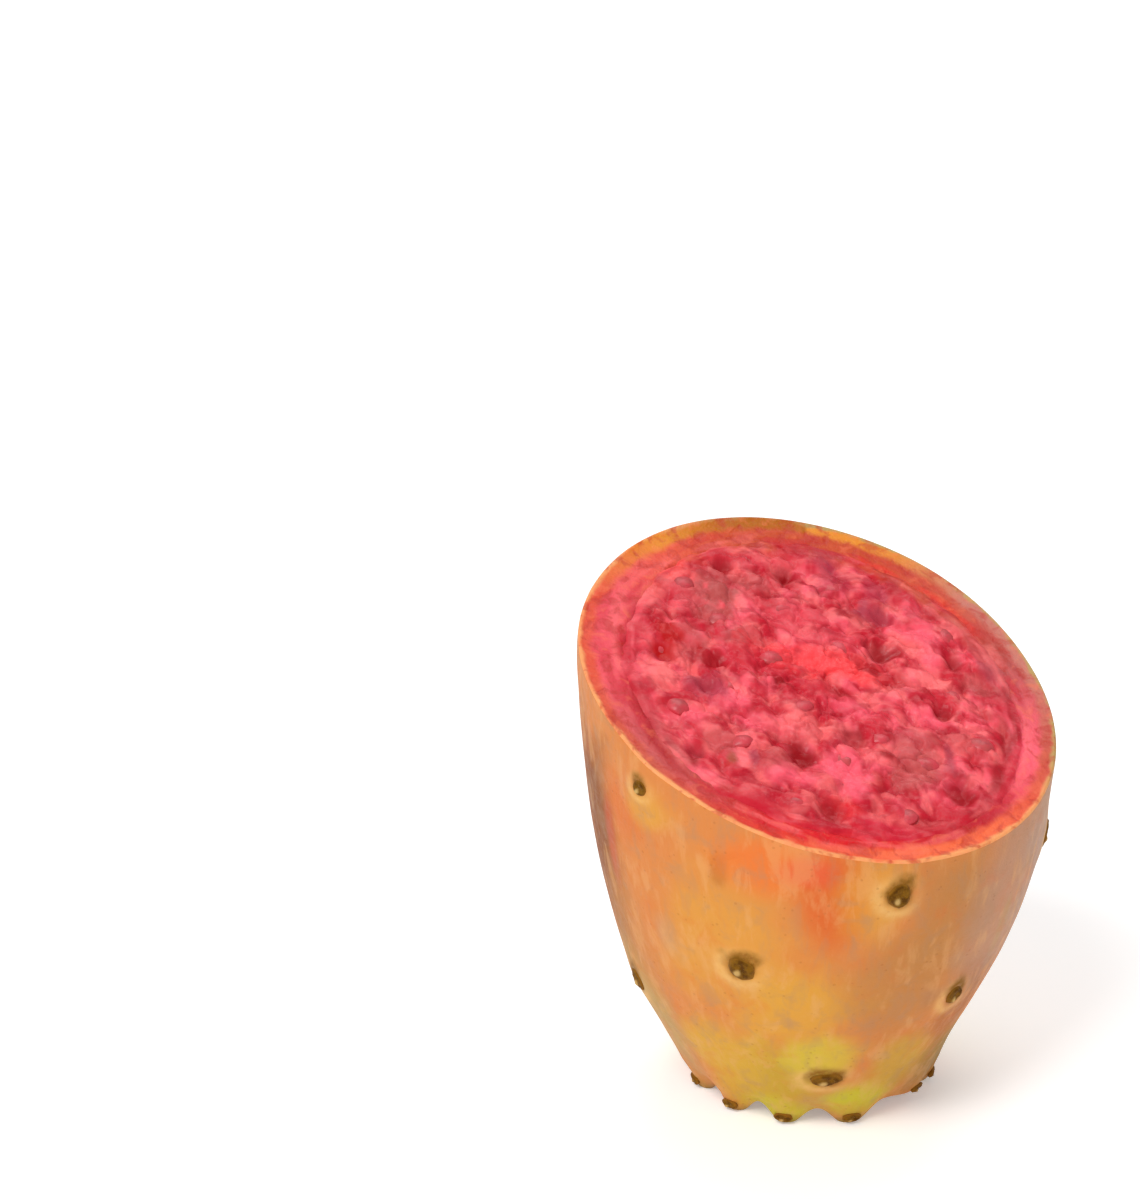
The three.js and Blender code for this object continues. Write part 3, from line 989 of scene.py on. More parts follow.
@dataclass(frozen=True)
class PaleFloor:
    """Plain matte white floor, lifted a little so that its far part stays as white as its near part."""

    white: str = "#F7F7F7"
    dull: str = "#F4F4F4"
    glow: str = "#FFFFFF"

    def material(self) -> bpy.types.Material:
        """Build the finish.

        Returns:
            The material.
        """
        board = NodeBoard("pale_floor")
        colour = board.overlay(tint(self.white), (board.noise(40, 2), 0.3, 0.7, 0.3, self.dull))
        board.shader.inputs["Emission Color"].default_value = tint(self.glow)
        board.constants(Emission_Strength=0.27)
        return board.finish(colour, 0.8)


# ------------------------------------------------------------
# Sub-assemblies
# ------------------------------------------------------------


class Tone(Enum):
    """Named colours that the skin, the cut and the pulp are painted with."""

    PEACH = "#D08042"
    ORANGE = "#E66C28"
    BLUSH = "#D25E26"
    GOLD = "#D69E3A"
    AMBER = "#D2A238"
    CLAY = "#B67C42"
    LILAC = "#AC8A76"
    HAZEL = "#844818"
    LIME = "#C2BA2C"
    STRAW = "#CEB43C"
    OCHRE = "#BCA02E"
    OLIVE = "#84702E"
    SAND = "#B4965A"
    SHELL = "#F0A064"
    APRICOT = "#E08826"
    FLAME = "#F0683E"
    EMBER = "#DE5238"
    VERMILION = "#DE3020"
    BRICK = "#C44822"
    SCARLET = "#D6141E"
    CORAL = "#FF484C"
    ROSE = "#E64E5A"
    PINK = "#FC5C70"
    PALE = "#FE7474"
    CHERRY = "#D4464C"
    CRIMSON = "#C2142A"
    CARMINE = "#D1273E"
    RUBY = "#B60204"
    GARNET = "#AA121E"
    MAROON = "#9A0814"
    MAGENTA = "#AE364C"
    MAUVE = "#A83648"
    VEIL = "#B04A48"
    RUST = "#C65440"
    COPPER_IN_SHADE = "#B06008"
    CAMEO = "#C27466"


def rgb(tone: Tone) -> Array:
    """Return a tone as linear red, green and blue."""
    return np.array(tint(tone.value)[:3])


@dataclass(frozen=True)
class Stain:
    """One soft patch of paint: its tone, middle, half sizes in millimetres, and strength.

    On the skin the middle is an angle in degrees and a height. On the cut it is x and y.
    """

    tone: Tone
    across: float
    up: float
    width: float
    rise: float
    strength: float

    def cover(self, across: Array, up: Array, ragged: Array) -> Array:
        """Return the share of cover at distances across and up from its middle, with its edge torn."""
        reach = np.hypot(across / self.width, up / self.rise) * ragged
        return self.strength * soft_step(STAIN_REACH - reach)


def stains_of(*groups: tuple[Tone | tuple[float, ...], ...]) -> tuple[Stain, ...]:
    """Make stains from groups of a tone and rows of middle, half sizes and strength, in that order."""
    return tuple(Stain(tone, *row) for tone, *rows in groups for row in rows)


def lay(under: Array, share: Array, tone: Tone | Array) -> Array:
    """Lay a share of a tone, or of one colour for each place, on paint."""
    over = rgb(tone) if isinstance(tone, Tone) else tone
    return under + share[:, None] * (over - under)


def scar_rays(angle: Array, outwards: Array) -> Array:
    """Return how strongly the cork's fine rays show at angles and shares of the way out."""
    return soft_step(clouds(flat_places(angle * 9, outwards * 2), 1.0, 21) * 1.6)


@dataclass(frozen=True)
class RingBand:
    """Colours of the cut rind at one angle: a thin skin line, an outer band and the part near the pulp."""

    degrees: float
    line: Tone
    outer: Tone
    outer_width: float
    inner: Tone


@dataclass(frozen=True)
class Streak:
    """A streak of juice, or of painted shade in a groove, near the border between rind and pulp.

    Attributes:
        tone: Its colour.
        ends: Angles of its ends, in degrees.
        offsets: How far out from the border each end lies, in millimetres.
        width: Half its width.
        strength: How far it covers what lies under it.
        fade: Degrees over which it fades in and out at its ends.
    """

    tone: Tone
    ends: tuple[float, float]
    offsets: tuple[float, float]
    width: float
    strength: float
    fade: float = 9.0

    def cover(self, angle: Array, from_wall: Array, ragged: Array) -> Array:
        """Find how far the streak covers what lies under it.

        Args:
            angle: Angles round the axis.
            from_wall: Distances out from the border.
            ragged: Numbers round 0 that bend and tear it.

        Returns:
            A share from 0 to its strength for each place.
        """
        degrees = np.degrees(angle)
        middle = np.interp(degrees, self.ends, self.offsets) + 0.5 * ragged
        first, last = self.ends
        along = soft_step((degrees - first) / self.fade) * soft_step((last - degrees) / self.fade)
        return self.strength * along * bell(from_wall - middle, self.width) * np.clip(0.9 + ragged, 0, 1)


class Zone(IntEnum):
    """The zones of the rind, in the order of its finishes."""

    SKIN = 0
    CUT = 1
    SCAR = 2


@dataclass(frozen=True)
class SeatMarks:
    """The marks round a cushion on the skin: a pale halo, lighter at its lower left with painted light, and a
    brown wash that reaches up past it.

    Attributes:
        halo: Strength of the halo, at halo_reach from the cushion's middle and fading over halo_width.
        wash_rise: How far above the cushion the middle of the wash lies, wash_length times as long as wide.
        wash_reach: Where the wash ends, after it has faded over wash_fade.
    """

    halo: float = 0.68
    halo_reach: float = 2.6
    halo_width: float = 0.9
    wash_rise: float = 0.7
    wash_length: float = 1.25
    wash_reach: float = 2.4
    wash_fade: float = 1.4

    def cover(self, across: Array, up: Array, cushion: Cushion, torn: Array) -> tuple[Array, Array]:
        """Find how strong the marks of a cushion are.

        Args:
            across: Distances round the fruit from the cushion.
            up: Distances up the fruit from it.
            cushion: The cushion.
            torn: Factors round 1 that tear the edge of the wash.

        Returns:
            The halo, which is strongest at the lower left where painted light lies on it, and the wash.
        """
        distance = np.hypot(across / cushion.width, up / cushion.length)
        # The halo is pale skin, with painted light added on the lower left of each cushion.
        painted_light_lower_left = 0.75 + 0.45 * np.tanh(-(across + up) / 1.5)
        halo = self.halo * bell(distance - self.halo_reach, self.halo_width) * painted_light_lower_left
        wash = np.hypot(across / cushion.width, (up - self.wash_rise) / (self.wash_length * cushion.length))
        return halo, soft_step((self.wash_reach - wash * torn) / self.wash_fade)


@dataclass(frozen=True)
class RindShell:
    """The rind: scar, rolled lip, skin, cut ring and the bowl that holds the pulp.

    Attributes:
        skin: The skin's surface.
        lip_radius: Radius of the lip's roll, with its own size lip_roll, its turn lip_turn past half a turn,
            and where on the turn its lobes are let down, from drop_start over drop_span.
        scar_height: Height of the scar in its middle, with scar_edge at the lip.
        segments: Steps round the axis.
        scar_rows: Rows of points on the scar, out to the share scar_reach, with lip_rows, flank_rows,
            edge_rows, ring_rows and those of the bowl's wall and bottom in bowl_rows.
        edge_round: Rounding of the cut edge of the skin, and edge_share its share of the way to the pulp.
        ring_level: How far the cut ring lies under the plane of the cut, with a dip of ring_dip in its middle
            and ring_sink more at the film of the pulp.
        ring_lump: Size of its lumps in the middle, with wall_lump more at the pulp.
        gap: How far the ring reaches in over the pulp's side.
        stains: Paint on the skin, in the order in which it is laid, with painted shadow and painted light
            among it.
        bands: Colours of the cut ring, from -180 degrees round to 180, with painted shade at the back.
        streaks: Juice along the border between rind and pulp, and painted groove shade on the right.
        soak_reach: How far the fine juice reaches from the border, and soak_more how much farther it reaches
            about the angle soak_angle.
        groove_shading: Painted shade of grooves along the pulp, as angles in degrees, spreads in radians and
            strengths.
        marks: The marks round the cushions.
    """

    skin: Skin
    lip_radius: float = 11.9
    lip_roll: float = 1.3
    lip_turn: float = 0.83
    drop_start: float = 0.12
    drop_span: float = 0.73
    scar_height: float = 4.6
    scar_edge: float = 3.9
    segments: int = 420
    scar_rows: int = 10
    scar_reach: float = 0.96
    lip_rows: int = 26
    flank_rows: int = 190
    edge_rows: int = 6
    ring_rows: int = 30
    bowl_rows: tuple[int, int] = (10, 12)
    edge_round: float = 0.3
    edge_share: float = 0.06
    ring_level: float = 0.05
    ring_dip: float = 0.15
    ring_sink: float = 0.32
    ring_lump: float = 0.1
    wall_lump: float = 0.12
    gap: float = 0.15
    stains: tuple[Stain, ...] = stains_of(
        # The two hazel stains on the upper left limb are painted shadow, cast there by a neighbouring fruit.
        (Tone.HAZEL, (-95, 28, 11, 20, 0.7), (-74, 33, 5.5, 11, 0.95)),
        (Tone.CLAY, (-64, 20, 5, 10, 0.6)),
        (Tone.SAND, (-66, 10, 5, 7, 0.8)),
        (Tone.RUST, (-64, 32, 1.1, 5, 0.5)),
        (Tone.PEACH, (-45, 26, 6, 11, 0.6)),
        (Tone.BLUSH, (-56, 37, 4, 4, 0.4)),
        (Tone.GOLD, (-47, 38, 3.0, 2.4, 0.6)),
        (Tone.LILAC, (-45, 24, 1.6, 2.4, 0.35)),
        (Tone.GOLD, (-26, 24, 8, 9, 0.5)),
        (Tone.HAZEL, (-27, 33.5, 0.9, 1.9, 0.35)),
        (Tone.ORANGE, (-14, 35, 5.5, 3.6, 0.6)),
        (Tone.BLUSH, (1, 31.5, 4.0, 5.6, 0.85)),
        (Tone.EMBER, (-6, 34.6, 2.8, 1.8, 0.6)),
        (Tone.GOLD, (-8, 17, 6, 5, 0.75), (11, 31, 3.5, 5, 0.5)),
        (Tone.ORANGE, (28, 28.5, 0.9, 0.9, 0.7)),
        (Tone.CLAY, (21, 20, 6, 7, 0.6), (33, 28, 6, 8, 0.7)),
        # The lilac patches at 54 and 82 degrees are partly grey bloom and partly painted reflection of the
        # pale surroundings on the right limb.
        (Tone.LILAC, (54, 27, 7, 13, 0.6)),
        (Tone.HAZEL, (50, 14, 5, 5, 0.5)),
        (Tone.SAND, (55, 24, 0.9, 3.5, 0.4)),
        (Tone.LILAC, (82, 28, 9, 13, 0.85)),
        (Tone.OCHRE, (-19, 6.5, 6.5, 4.6, 0.8)),
        (Tone.AMBER, (-38, 9, 4.5, 5, 0.8)),
        # The straw patches are yellow-green skin, made lighter by a painted highlight on the ridge between
        # the front lobes.
        (Tone.STRAW, (-6, 10, 2.6, 2.4, 0.7), (1, 10.5, 3.6, 3.2, 0.8)),
        (Tone.SAND, (3, 2.5, 3.5, 2.2, 0.5)),
        (Tone.LIME, (16, 3.5, 3.8, 2.4, 0.9), (-17, 1.5, 3.2, 2.2, 0.8)),
        (Tone.OCHRE, (32, 8, 4, 4, 0.6)),
        (Tone.OLIVE, (70, 6.5, 8, 5, 0.8)),
        (Tone.BLUSH, (128, 34, 12, 11, 0.7)),
        (Tone.CLAY, (108, 13, 9, 8, 0.6)),
        (Tone.GOLD, (178, 22, 13, 9, 0.7)),
        (Tone.ORANGE, (-160, 40, 9, 7, 0.6)),
        (Tone.BLUSH, (-148, 28, 10, 8, 0.6)),
        (Tone.GOLD, (-112, 16, 9, 8, 0.6)),
        (Tone.LIME, (150, 6, 11, 6, 0.8)),
        (Tone.OCHRE, (-130, 5, 11, 6, 0.8)),
    )
    bands: tuple[RingBand, ...] = (
        # At -180 and -158 degrees the ring is painted darker, as shade from the back rim and a neighbouring
        # fruit.
        RingBand(-180, Tone.CLAY, Tone.COPPER_IN_SHADE, 1.6, Tone.BRICK),
        RingBand(-158, Tone.CLAY, Tone.COPPER_IN_SHADE, 1.8, Tone.BRICK),
        RingBand(-135, Tone.SHELL, Tone.APRICOT, 2.2, Tone.EMBER),
        RingBand(-105, Tone.SHELL, Tone.EMBER, 1.6, Tone.ROSE),
        RingBand(-75, Tone.SHELL, Tone.EMBER, 1.5, Tone.ROSE),
        RingBand(-45, Tone.SHELL, Tone.RUST, 1.4, Tone.VEIL),
        RingBand(-15, Tone.SHELL, Tone.VERMILION, 1.4, Tone.SCARLET),
        RingBand(15, Tone.SHELL, Tone.FLAME, 1.9, Tone.SCARLET),
        RingBand(45, Tone.SHELL, Tone.FLAME, 1.9, Tone.GARNET),
        RingBand(62, Tone.SHELL, Tone.EMBER, 1.7, Tone.ROSE),
        RingBand(80, Tone.SAND, Tone.RUST, 1.6, Tone.PINK),
        RingBand(110, Tone.SAND, Tone.CAMEO, 1.4, Tone.VEIL),
        RingBand(135, Tone.SAND, Tone.CAMEO, 1.6, Tone.RUST),
        RingBand(160, Tone.SAND, Tone.APRICOT, 1.6, Tone.BRICK),
        RingBand(180, Tone.SAND, Tone.APRICOT, 1.6, Tone.BRICK),
    )
    streaks: tuple[Streak, ...] = (
        Streak(Tone.CRIMSON, (-115, -58), (1.2, -0.3), 0.5, 0.85),
        Streak(Tone.GARNET, (-72, -36), (-0.2, 2.0), 0.8, 0.9),
        # The maroon streak on the right is painted shade in a groove along the pulp.
        Streak(Tone.MAROON, (50, 108), (-1.3, -0.1), 0.5, 0.7),
        Streak(Tone.CRIMSON, (-30, 42), (-0.8, -0.4), 0.8, 0.8),
        Streak(Tone.VERMILION, (118, 172), (0.9, 0.7), 0.6, 0.7),
    )
    soak_reach: float = 2.0
    soak_more: float = 1.2
    soak_angle: float = math.radians(-88)
    groove_shading: tuple[tuple[float, float, float], ...] = ((92, 0.55, 1.0), (-80, 0.8, 0.6))
    marks: SeatMarks = SeatMarks()

    def lip(self, share: float, angle: Array) -> Array:
        """Find a row of the rolled lip.

        Args:
            share: 0 at its inner side, 1 where it meets the flank.
            angle: Angles round the axis.

        Returns:
            The row's points.
        """
        skin = self.skin
        roll = math.pi * (1 + self.lip_turn * share)
        lobe, drop = skin.lobe_at(angle)
        let_down = drop * lobe * math.sin(math.pi * (self.drop_start + self.drop_span * share))
        height = skin.lip_height + self.lip_roll * math.sin(roll) - let_down
        furrow = skin.furrow_depth * (1 - lobe) * share
        radius = self.lip_radius + self.lip_roll * math.cos(roll) + skin.lobe_bulge * lobe * share
        return around(radius - furrow - skin.unevenness * share, angle, np.maximum(height, 0))

    def scar(self, share: float, angle: Array) -> Array:
        """Return a row of the scar's bed, from the axis at 0 to the lip at 1."""
        height = self.scar_height + (self.scar_edge - self.scar_height) * share**2
        return around((self.lip_radius - self.lip_roll) * share, angle, height)

    def rows(self) -> tuple[Array, Array, Array]:
        """Lay out the whole rind row by row, from the middle of the scar to the bottom of the bowl.

        Returns:
            The rows of points, the zone of each row, and how far in each row of the cut lies from the
            skin line at 0 to the pulp at 1.
        """
        angle = np.arange(self.segments) * TAU / self.segments
        skin, form = self.skin, self.skin.form
        lowest = skin.lip_height + 0.4 * self.lip_roll
        edge = skin.edge(angle)
        rows, zones, depths = [], [], []

        def add(row: Array, zone: Zone, depth: float = 0.0) -> None:
            """Add one row.

            Args:
                row: Its points.
                zone: Its zone.
                depth: How far in it lies on the cut.
            """
            rows.append(row)
            zones.append(zone)
            depths.append(depth)

        for share in np.linspace(0, self.scar_reach, self.scar_rows):
            add(self.scar(share, angle), Zone.SCAR)
        for share in np.linspace(0, 1, self.lip_rows):
            add(self.lip(share, angle), Zone.SKIN)
        for share in np.linspace(0, 1, self.flank_rows)[1:]:
            add(skin.point(angle, lowest + (edge - self.edge_round - lowest) * share), Zone.SKIN)
        below, corner = rows[-1], skin.point(angle, edge)
        wall = form.bowl(1.0, angle, self.gap)
        inwards = (wall - corner) / np.linalg.norm(wall - corner, axis=-1, keepdims=True)
        inset = corner + self.edge_round * inwards
        for t in np.linspace(0, 1, self.edge_rows)[1:]:
            bend = (1 - t) ** 2 * below + 2 * t * (1 - t) * corner + t**2 * inset
            add(bend, Zone.CUT, self.edge_share * t)
        for t in np.linspace(0, 1, self.ring_rows)[1:]:
            row = inset + (wall - inset) * t
            row[:, 2] += self.ring_relief(row, t)
            add(row, Zone.CUT, self.edge_share + (1 - self.edge_share) * t)
        for (first, last), count in zip(((1, 0.5), (0.5, 0)), self.bowl_rows):
            for share in np.linspace(first, last, count)[1:]:
                add(form.bowl(share, angle, self.gap), Zone.CUT, 1.0)
        return np.array(rows), np.array(zones), np.array(depths)

    def ring_relief(self, row: Array, share: float) -> Array:
        """Find the rise of the cut ring over the plane of the cut.

        Args:
            row: The row's points.
            share: 0 at the skin, 1 at the pulp.

        Returns:
            The rise at each point.
        """
        dip = self.ring_dip * math.sin(math.pi * min(share * 1.15, 1.0)) ** 0.8
        size = self.ring_lump * math.sin(math.pi * share) + self.wall_lump * share**3
        return clouds(row, 1.8, 11) * size - dip - self.ring_level - self.ring_sink * share**5

    def skin_paint(self, angle: Array, height: Array) -> Array:
        """Paint the skin with its stains, with ragged edges.

        Args:
            angle: Angles round the axis.
            height: Heights above the ground.

        Returns:
            One linear colour for each place.
        """
        radius = self.skin.form.round_radius(np.clip(height, 0, 60))
        place = around(radius, angle, height)
        ragged = 1 + 0.34 * clouds(place, 7.0, 41) + 0.12 * clouds(place, 2.2, 42)
        colour = np.tile(rgb(Tone.PEACH), (len(angle), 1))
        for stain in self.stains:
            turn = (angle - math.radians(stain.across) + math.pi) % TAU - math.pi
            colour = lay(colour, stain.cover(turn * radius, height - stain.up, ragged), stain.tone)
        return colour

    def at_angle(self, angle: Array, part: str) -> Array:
        """Run one part of the bands round the ring.

        Args:
            angle: Angles round the axis, from minus half a turn to half a turn.
            part: Name of the part: "line", "outer", "inner" or "outer_width".

        Returns:
            A linear colour, or a width on its own axis, for each angle.
        """
        places = [band.degrees for band in self.bands]
        values = [getattr(band, part) for band in self.bands]
        channels = np.array([rgb(v) if isinstance(v, Tone) else [v] for v in values]).T
        return np.stack([np.interp(np.degrees(angle), places, channel) for channel in channels], axis=-1)

    def soak(self, colour: Array, angle: Array, from_wall: Array) -> Array:
        """Lay juice along the border between rind and pulp on paint: fine threads, then the streaks, one of
        them painted groove shade.

        Args:
            colour: The paint so far.
            angle: Angles round the axis.
            from_wall: Distances out from the border.

        Returns:
            The new paint.
        """
        fine = clouds(flat_places(angle * 5.5, from_wall), 1.1, 17)
        near = bell(from_wall, self.soak_reach + self.soak_more * bell(angle - self.soak_angle, 1.0))
        colour = lay(colour, 0.75 * near * np.clip(2.5 * (fine - 0.05), 0, 1), Tone.CRIMSON)
        colour = lay(colour, 0.5 * near * np.clip(-2.5 * (fine + 0.15), 0, 1), Tone.PALE)
        ragged = clouds(flat_places(angle * 20, from_wall), 2.5, 19)
        for streak in self.streaks:
            colour = lay(colour, streak.cover(angle, from_wall, ragged), streak.tone)
        return colour

    def cut_paint(self, points: Array, depth: Array) -> Array:
        """Paint the cut ring with its bands.

        Args:
            points: The rind's vertices.
            depth: How far in each lies on the cut, from 0 at the skin to 1 at the pulp.

        Returns:
            One linear colour for each vertex.
        """
        angle = np.arctan2(points[:, 0], -points[:, 1])
        thickness = self.skin.form.thickness(angle)
        inwards = depth * thickness + 0.35 * clouds(points, 2.4, 15) + 0.2 * clouds(points, 0.9, 16)
        line, outer, inner = (self.at_angle(angle, part) for part in ("line", "outer", "inner"))
        width = self.at_angle(angle, "outer_width")[:, 0]
        colour = lay(line, soft_step((inwards - 0.15) / 0.5), outer)
        colour = lay(colour, soft_step((inwards - width + 0.5) / 1.1), inner)
        colour = self.soak(colour, angle, (1 - depth) * thickness)
        # Painted shade in grooves along the border with the pulp, laid in maroon.
        groove_shade = sum(
            strength * bell(angle - math.radians(degrees), spread)
            for degrees, spread, strength in self.groove_shading
        )
        dark = groove_shade * soft_step((depth - 0.84 + 0.1 * clouds(points, 1.3, 18)) / 0.12)
        return lay(colour, 0.6 * dark, Tone.MAROON)

    def build(self, finishes: list[bpy.types.Material]) -> bpy.types.Object:
        """Build the rind and store the masks that its finishes read.

        Args:
            finishes: Skin, cut rind and scar, in that order.

        Returns:
            The rind.
        """
        rows, zones, depths = self.rows()
        piece = new_object("rind_shell", *closed_rows(rows), *finishes)
        per_face = np.repeat(np.concatenate([zones[:-2], zones[-1:]]), self.segments)
        piece.data.polygons.foreach_set("material_index", per_face.astype(np.int32))
        self.colour(piece, at_vertices(np.repeat(depths[:, None], self.segments, axis=1)))
        return piece

    def colour(self, piece: bpy.types.Object, depth: Array) -> None:
        """Store the paint of skin and cut, and the masks of halos, brown washes, rim and scar.

        Args:
            piece: The rind.
            depth: How far in each vertex lies on the cut.
        """
        points = places_of(piece)
        angle, height = np.arctan2(points[:, 0], -points[:, 1]), points[:, 2]
        torn = 1 + 0.35 * clouds(points, 1.6, 43)
        covers = [
            self.marks.cover(*self.skin.from_cushion(angle, height, cushion), cushion, torn)
            for cushion in self.skin.cushions
        ]
        halo, wash = np.max(covers, axis=0)
        # The rim mark darkens the skin's foot towards the ground: olive skin, partly darkened as painted
        # contact shadow at the lobes' feet.
        rim = soft_step((1.5 - height) / 1.7) * (0.5 + 0.5 * self.skin.lobe_at(angle)[0])
        paint(piece, "SkinPaint", *self.skin_paint(angle, height).T)
        paint(piece, "CutPaint", *self.cut_paint(points, depth).T)
        paint(piece, "Marks", np.clip(halo, 0, 1), wash, rim)
        outwards = np.hypot(points[:, 0], points[:, 1]) / self.lip_radius
        paint(piece, "Scar", np.clip(outwards, 0, 1), scar_rays(angle, outwards))


@dataclass(frozen=True)
class ScarDisc:
    """The cork of the flower scar, a thin ribbed disc in its bed.

    Attributes:
        rind: The rind that it lies in.
        thickness: Thickness of the cork below its bed, with buried more of it in the rind above.
        reach: How far it reaches out, as a share of the bed.
        ribs: Number of main ribs, with their height rib_height.
        segments: Steps round the axis, with rings rows on each side.
    """

    rind: RindShell
    thickness: float = 0.35
    buried: float = 0.3
    reach: float = 0.985
    ribs: int = 17
    rib_height: float = 0.2
    segments: int = 340
    rings: int = 44

    def build(self, finish: bpy.types.Material) -> bpy.types.Object:
        """Build the disc.

        Args:
            finish: The corky finish.

        Returns:
            The disc.
        """
        angle = np.arange(self.segments) * TAU / self.segments
        under, over = [], []
        for share in np.linspace(0, self.reach, self.rings):
            bed = self.rind.scar(share, angle)
            spread = share * (1 - share) * 4
            wobble = 0.35 * clouds(bed, 3.0, 33)
            ribs = self.rib_height * np.sin(self.ribs * angle + 3 * wobble + 1.5 * share) * spread
            crumbs = 0.14 * clouds(bed, 0.9, 31) + 0.22 * clouds(bed, 2.6, 32)
            depth = self.thickness * (1 - share**6) + (ribs + crumbs) * min(1.0, 1.3 - share)
            under.append(bed - depth[:, None] * UP)
            over.append(bed + self.buried * UP)
        points, faces = closed_rows(np.array(under + over[::-1]))
        piece = new_object("flower_scar", points, faces, finish)
        outwards = np.hypot(points[:, 0], points[:, 1]) / (self.rind.lip_radius - self.rind.lip_roll)
        turn = np.arctan2(points[:, 0], -points[:, 1])
        paint(piece, "Scar", np.clip(outwards, 0, 1) ** 3, scar_rays(turn, outwards))
        return piece


@dataclass(frozen=True)
class Sac:
    """A juice sac on the cut face: its middle, and whether it shows a seed or is a pit."""

    index: int
    x: float
    y: float
    seed: bool
    pit: bool


@dataclass(frozen=True)
class SacLayout:
    """Juice sacs in a sunflower spiral, with seeds in some and pits where seeds were lost.

    Attributes:
        form: The fruit's form.
        pits: Where the pits that show are.
        count: Number of sacs, whose middles reach out to the share field of the pulp's radius.
        jitter: How far a sac may lie from its place in the spiral.
        seed_spacing: Least distance between two seeds, with none nearer the middle than the share core.
        gap: How far the pulp is drawn in from the rind.
    """

    form: FruitForm
    pits: tuple[tuple[float, float], ...] = (
        (-9.9, 15.0), (-3.1, 15.5), (7.3, 11.9), (-16.8, -0.5), (-10.8, -0.3), (6.8, 6.6), (-12.1, -4.6),
        (3.3, -7.8), (-2.4, -11.6), (-13.5, -14.4), (13.3, -0.8), (15.0, 7.0), (14.2, -12.6), (0.5, -18.9),
    )
    count: int = 84
    field: float = 0.95
    jitter: float = 0.75
    seed_spacing: float = 5.4
    core: float = 0.22
    gap: float = 0.3

    def edge(self, angle: Array, gap: float) -> Array:
        """Find the pulp's edge on the cut.

        Args:
            angle: Angles round the axis.
            gap: How far the edge is drawn in from the rind.

        Returns:
            The points of the edge, let down to the ground.
        """
        form = self.form
        height = form.edge_height(angle, lambda a, h: form.inner_radius(a, h, gap))
        return around(form.inner_radius(angle, height, gap), angle, 0 * height)

    def sacs(self) -> list[Sac]:
        """Place the sacs.

        Returns:
            The sacs, in the order of the spiral.
        """
        index = np.arange(self.count)
        reach = self.field * np.sqrt((index + 0.5) / self.count)
        middle = self.edge(index * GOLDEN_ANGLE, self.gap)[:, :2] * reach[:, None]
        middle += self.jitter * (2 * np.stack([draw(index, 1), draw(index, 2)], axis=-1) - 1)
        pit = np.zeros(self.count, dtype=bool)
        for place in self.pits:
            distance = np.where(pit, np.inf, np.hypot(*(middle - place).T))
            nearest = int(distance.argmin())
            middle[nearest], pit[nearest] = place, True
        seeds: list[int] = []
        for k in range(self.count):
            crowded = any(np.hypot(*(middle[k] - middle[other])) < self.seed_spacing for other in seeds)
            if not (pit[k] or crowded or reach[k] <= self.core):
                seeds.append(k)
        return [Sac(k, *map(float, middle[k]), k in seeds, bool(pit[k])) for k in range(self.count)]


